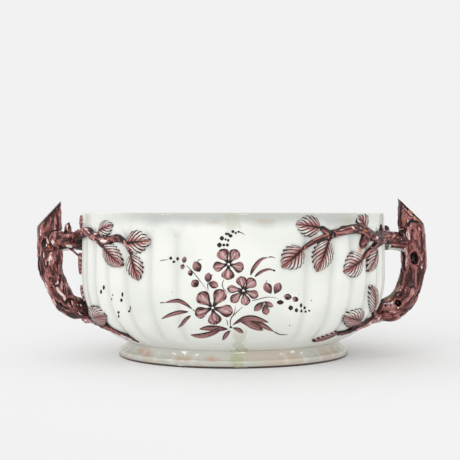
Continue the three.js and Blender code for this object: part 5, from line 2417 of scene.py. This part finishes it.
PAINTS = {
    "blades": BrushPaint(
        "blade_paint", srgb(48, 24, 23), srgb(116, 74, 73), srgb(168, 126, 124), line_from=0.58, lean=0.6
    ),
    "petals": BrushPaint(
        "petal_paint",
        srgb(56, 27, 27),
        srgb(128, 82, 82),
        srgb(186, 146, 144),
        line_from=0.62,
        light_share=0.95,
        pale_share=0.7,
    ),
    "buds": BrushPaint(
        "bud_paint",
        srgb(40, 20, 20),
        srgb(130, 86, 85),
        srgb(184, 144, 142),
        line_from=0.66,
        lean=0.35,
        dark_base=0.66,
    ),
    "ink": BrushPaint(
        "ink_paint", srgb(20, 9, 9), srgb(36, 18, 17), srgb(62, 34, 32), line_from=0.7, light_share=0.5
    ),
}


@dataclass
class Tureen:
    """All the pieces of the tureen."""

    glaze: TinGlaze = field(default_factory=TinGlaze)

    def build(self) -> None:
        """Builds every piece in order."""
        tin = self.glaze.material()
        bark = BarkGlaze().material(self.glaze)
        leaf = LeafGlaze().material(self.glaze)
        finish(Bowl().build(), "bowl_glazed", tin, Slot.TIN, ["bowl"])
        finish(FootRing().build(), "foot_glazed", tin, Slot.TIN, ["foot_ring"])
        for end in End:
            name = f"{end.value}_branch_handle"
            finish(BranchHandle.at(end).build(), f"{name}_bark", bark, Slot.BARK, [name])
            for face in Face:
                self.grow(end, face, bark, leaf)
        finishes = {name: paint.material(self.glaze) for name, paint in PAINTS.items()}
        for face in Face:
            Bouquet().build(face, finishes)

    def grow(self, end: End, face: Face, bark: Finish, leaf: Finish) -> None:
        """Lays the twigs and leaves of one corner on the wall.

        The back of each end carries what the front of the other end does, because the tureen looks
        the same when it is turned round by half.

        Args:
            end: The end of the bowl.
            face: The side of the bowl.
            bark: The finish of the twigs.
            leaf: The finish of the leaves.
        """
        pattern = end if face is Face.FRONT else end.other
        plan, side = GROWTH[pattern], pattern.side
        for level, shoots in plan.twigs.items():
            limbs = [on_wall([(side * one[0], *one[1:]) for one in shoot], face.around) for shoot in shoots]
            name = f"{end.value}_{face.value}_{level.value}_twig"
            twig = Branchwork(limbs, {face: plan.touches}, seed=3.0 + 2 * list(End).index(pattern))
            piece = twig.body()
            twig.give_bark(piece)
            twig.seat(piece)
            finish(piece, f"{name}_bark", bark, Slot.BARK, [name])
        for number, one in enumerate(plan.leaves):
            name = f"{end.value}_{face.value}_leaf_{number + 1}"
            made = Leaf(one, face.around, side, 1.3 * number)
            finish(made.build(), f"{name}_glazed", leaf, Slot.LEAF, [name])


def main() -> None:
    """Builds the studio and the tureen."""
    logging.basicConfig(level=logging.INFO, format="%(name)s %(message)s")
    CAMERA.build()
    Studio().build()
    Tureen().build()


if __name__ == "__main__":
    main()
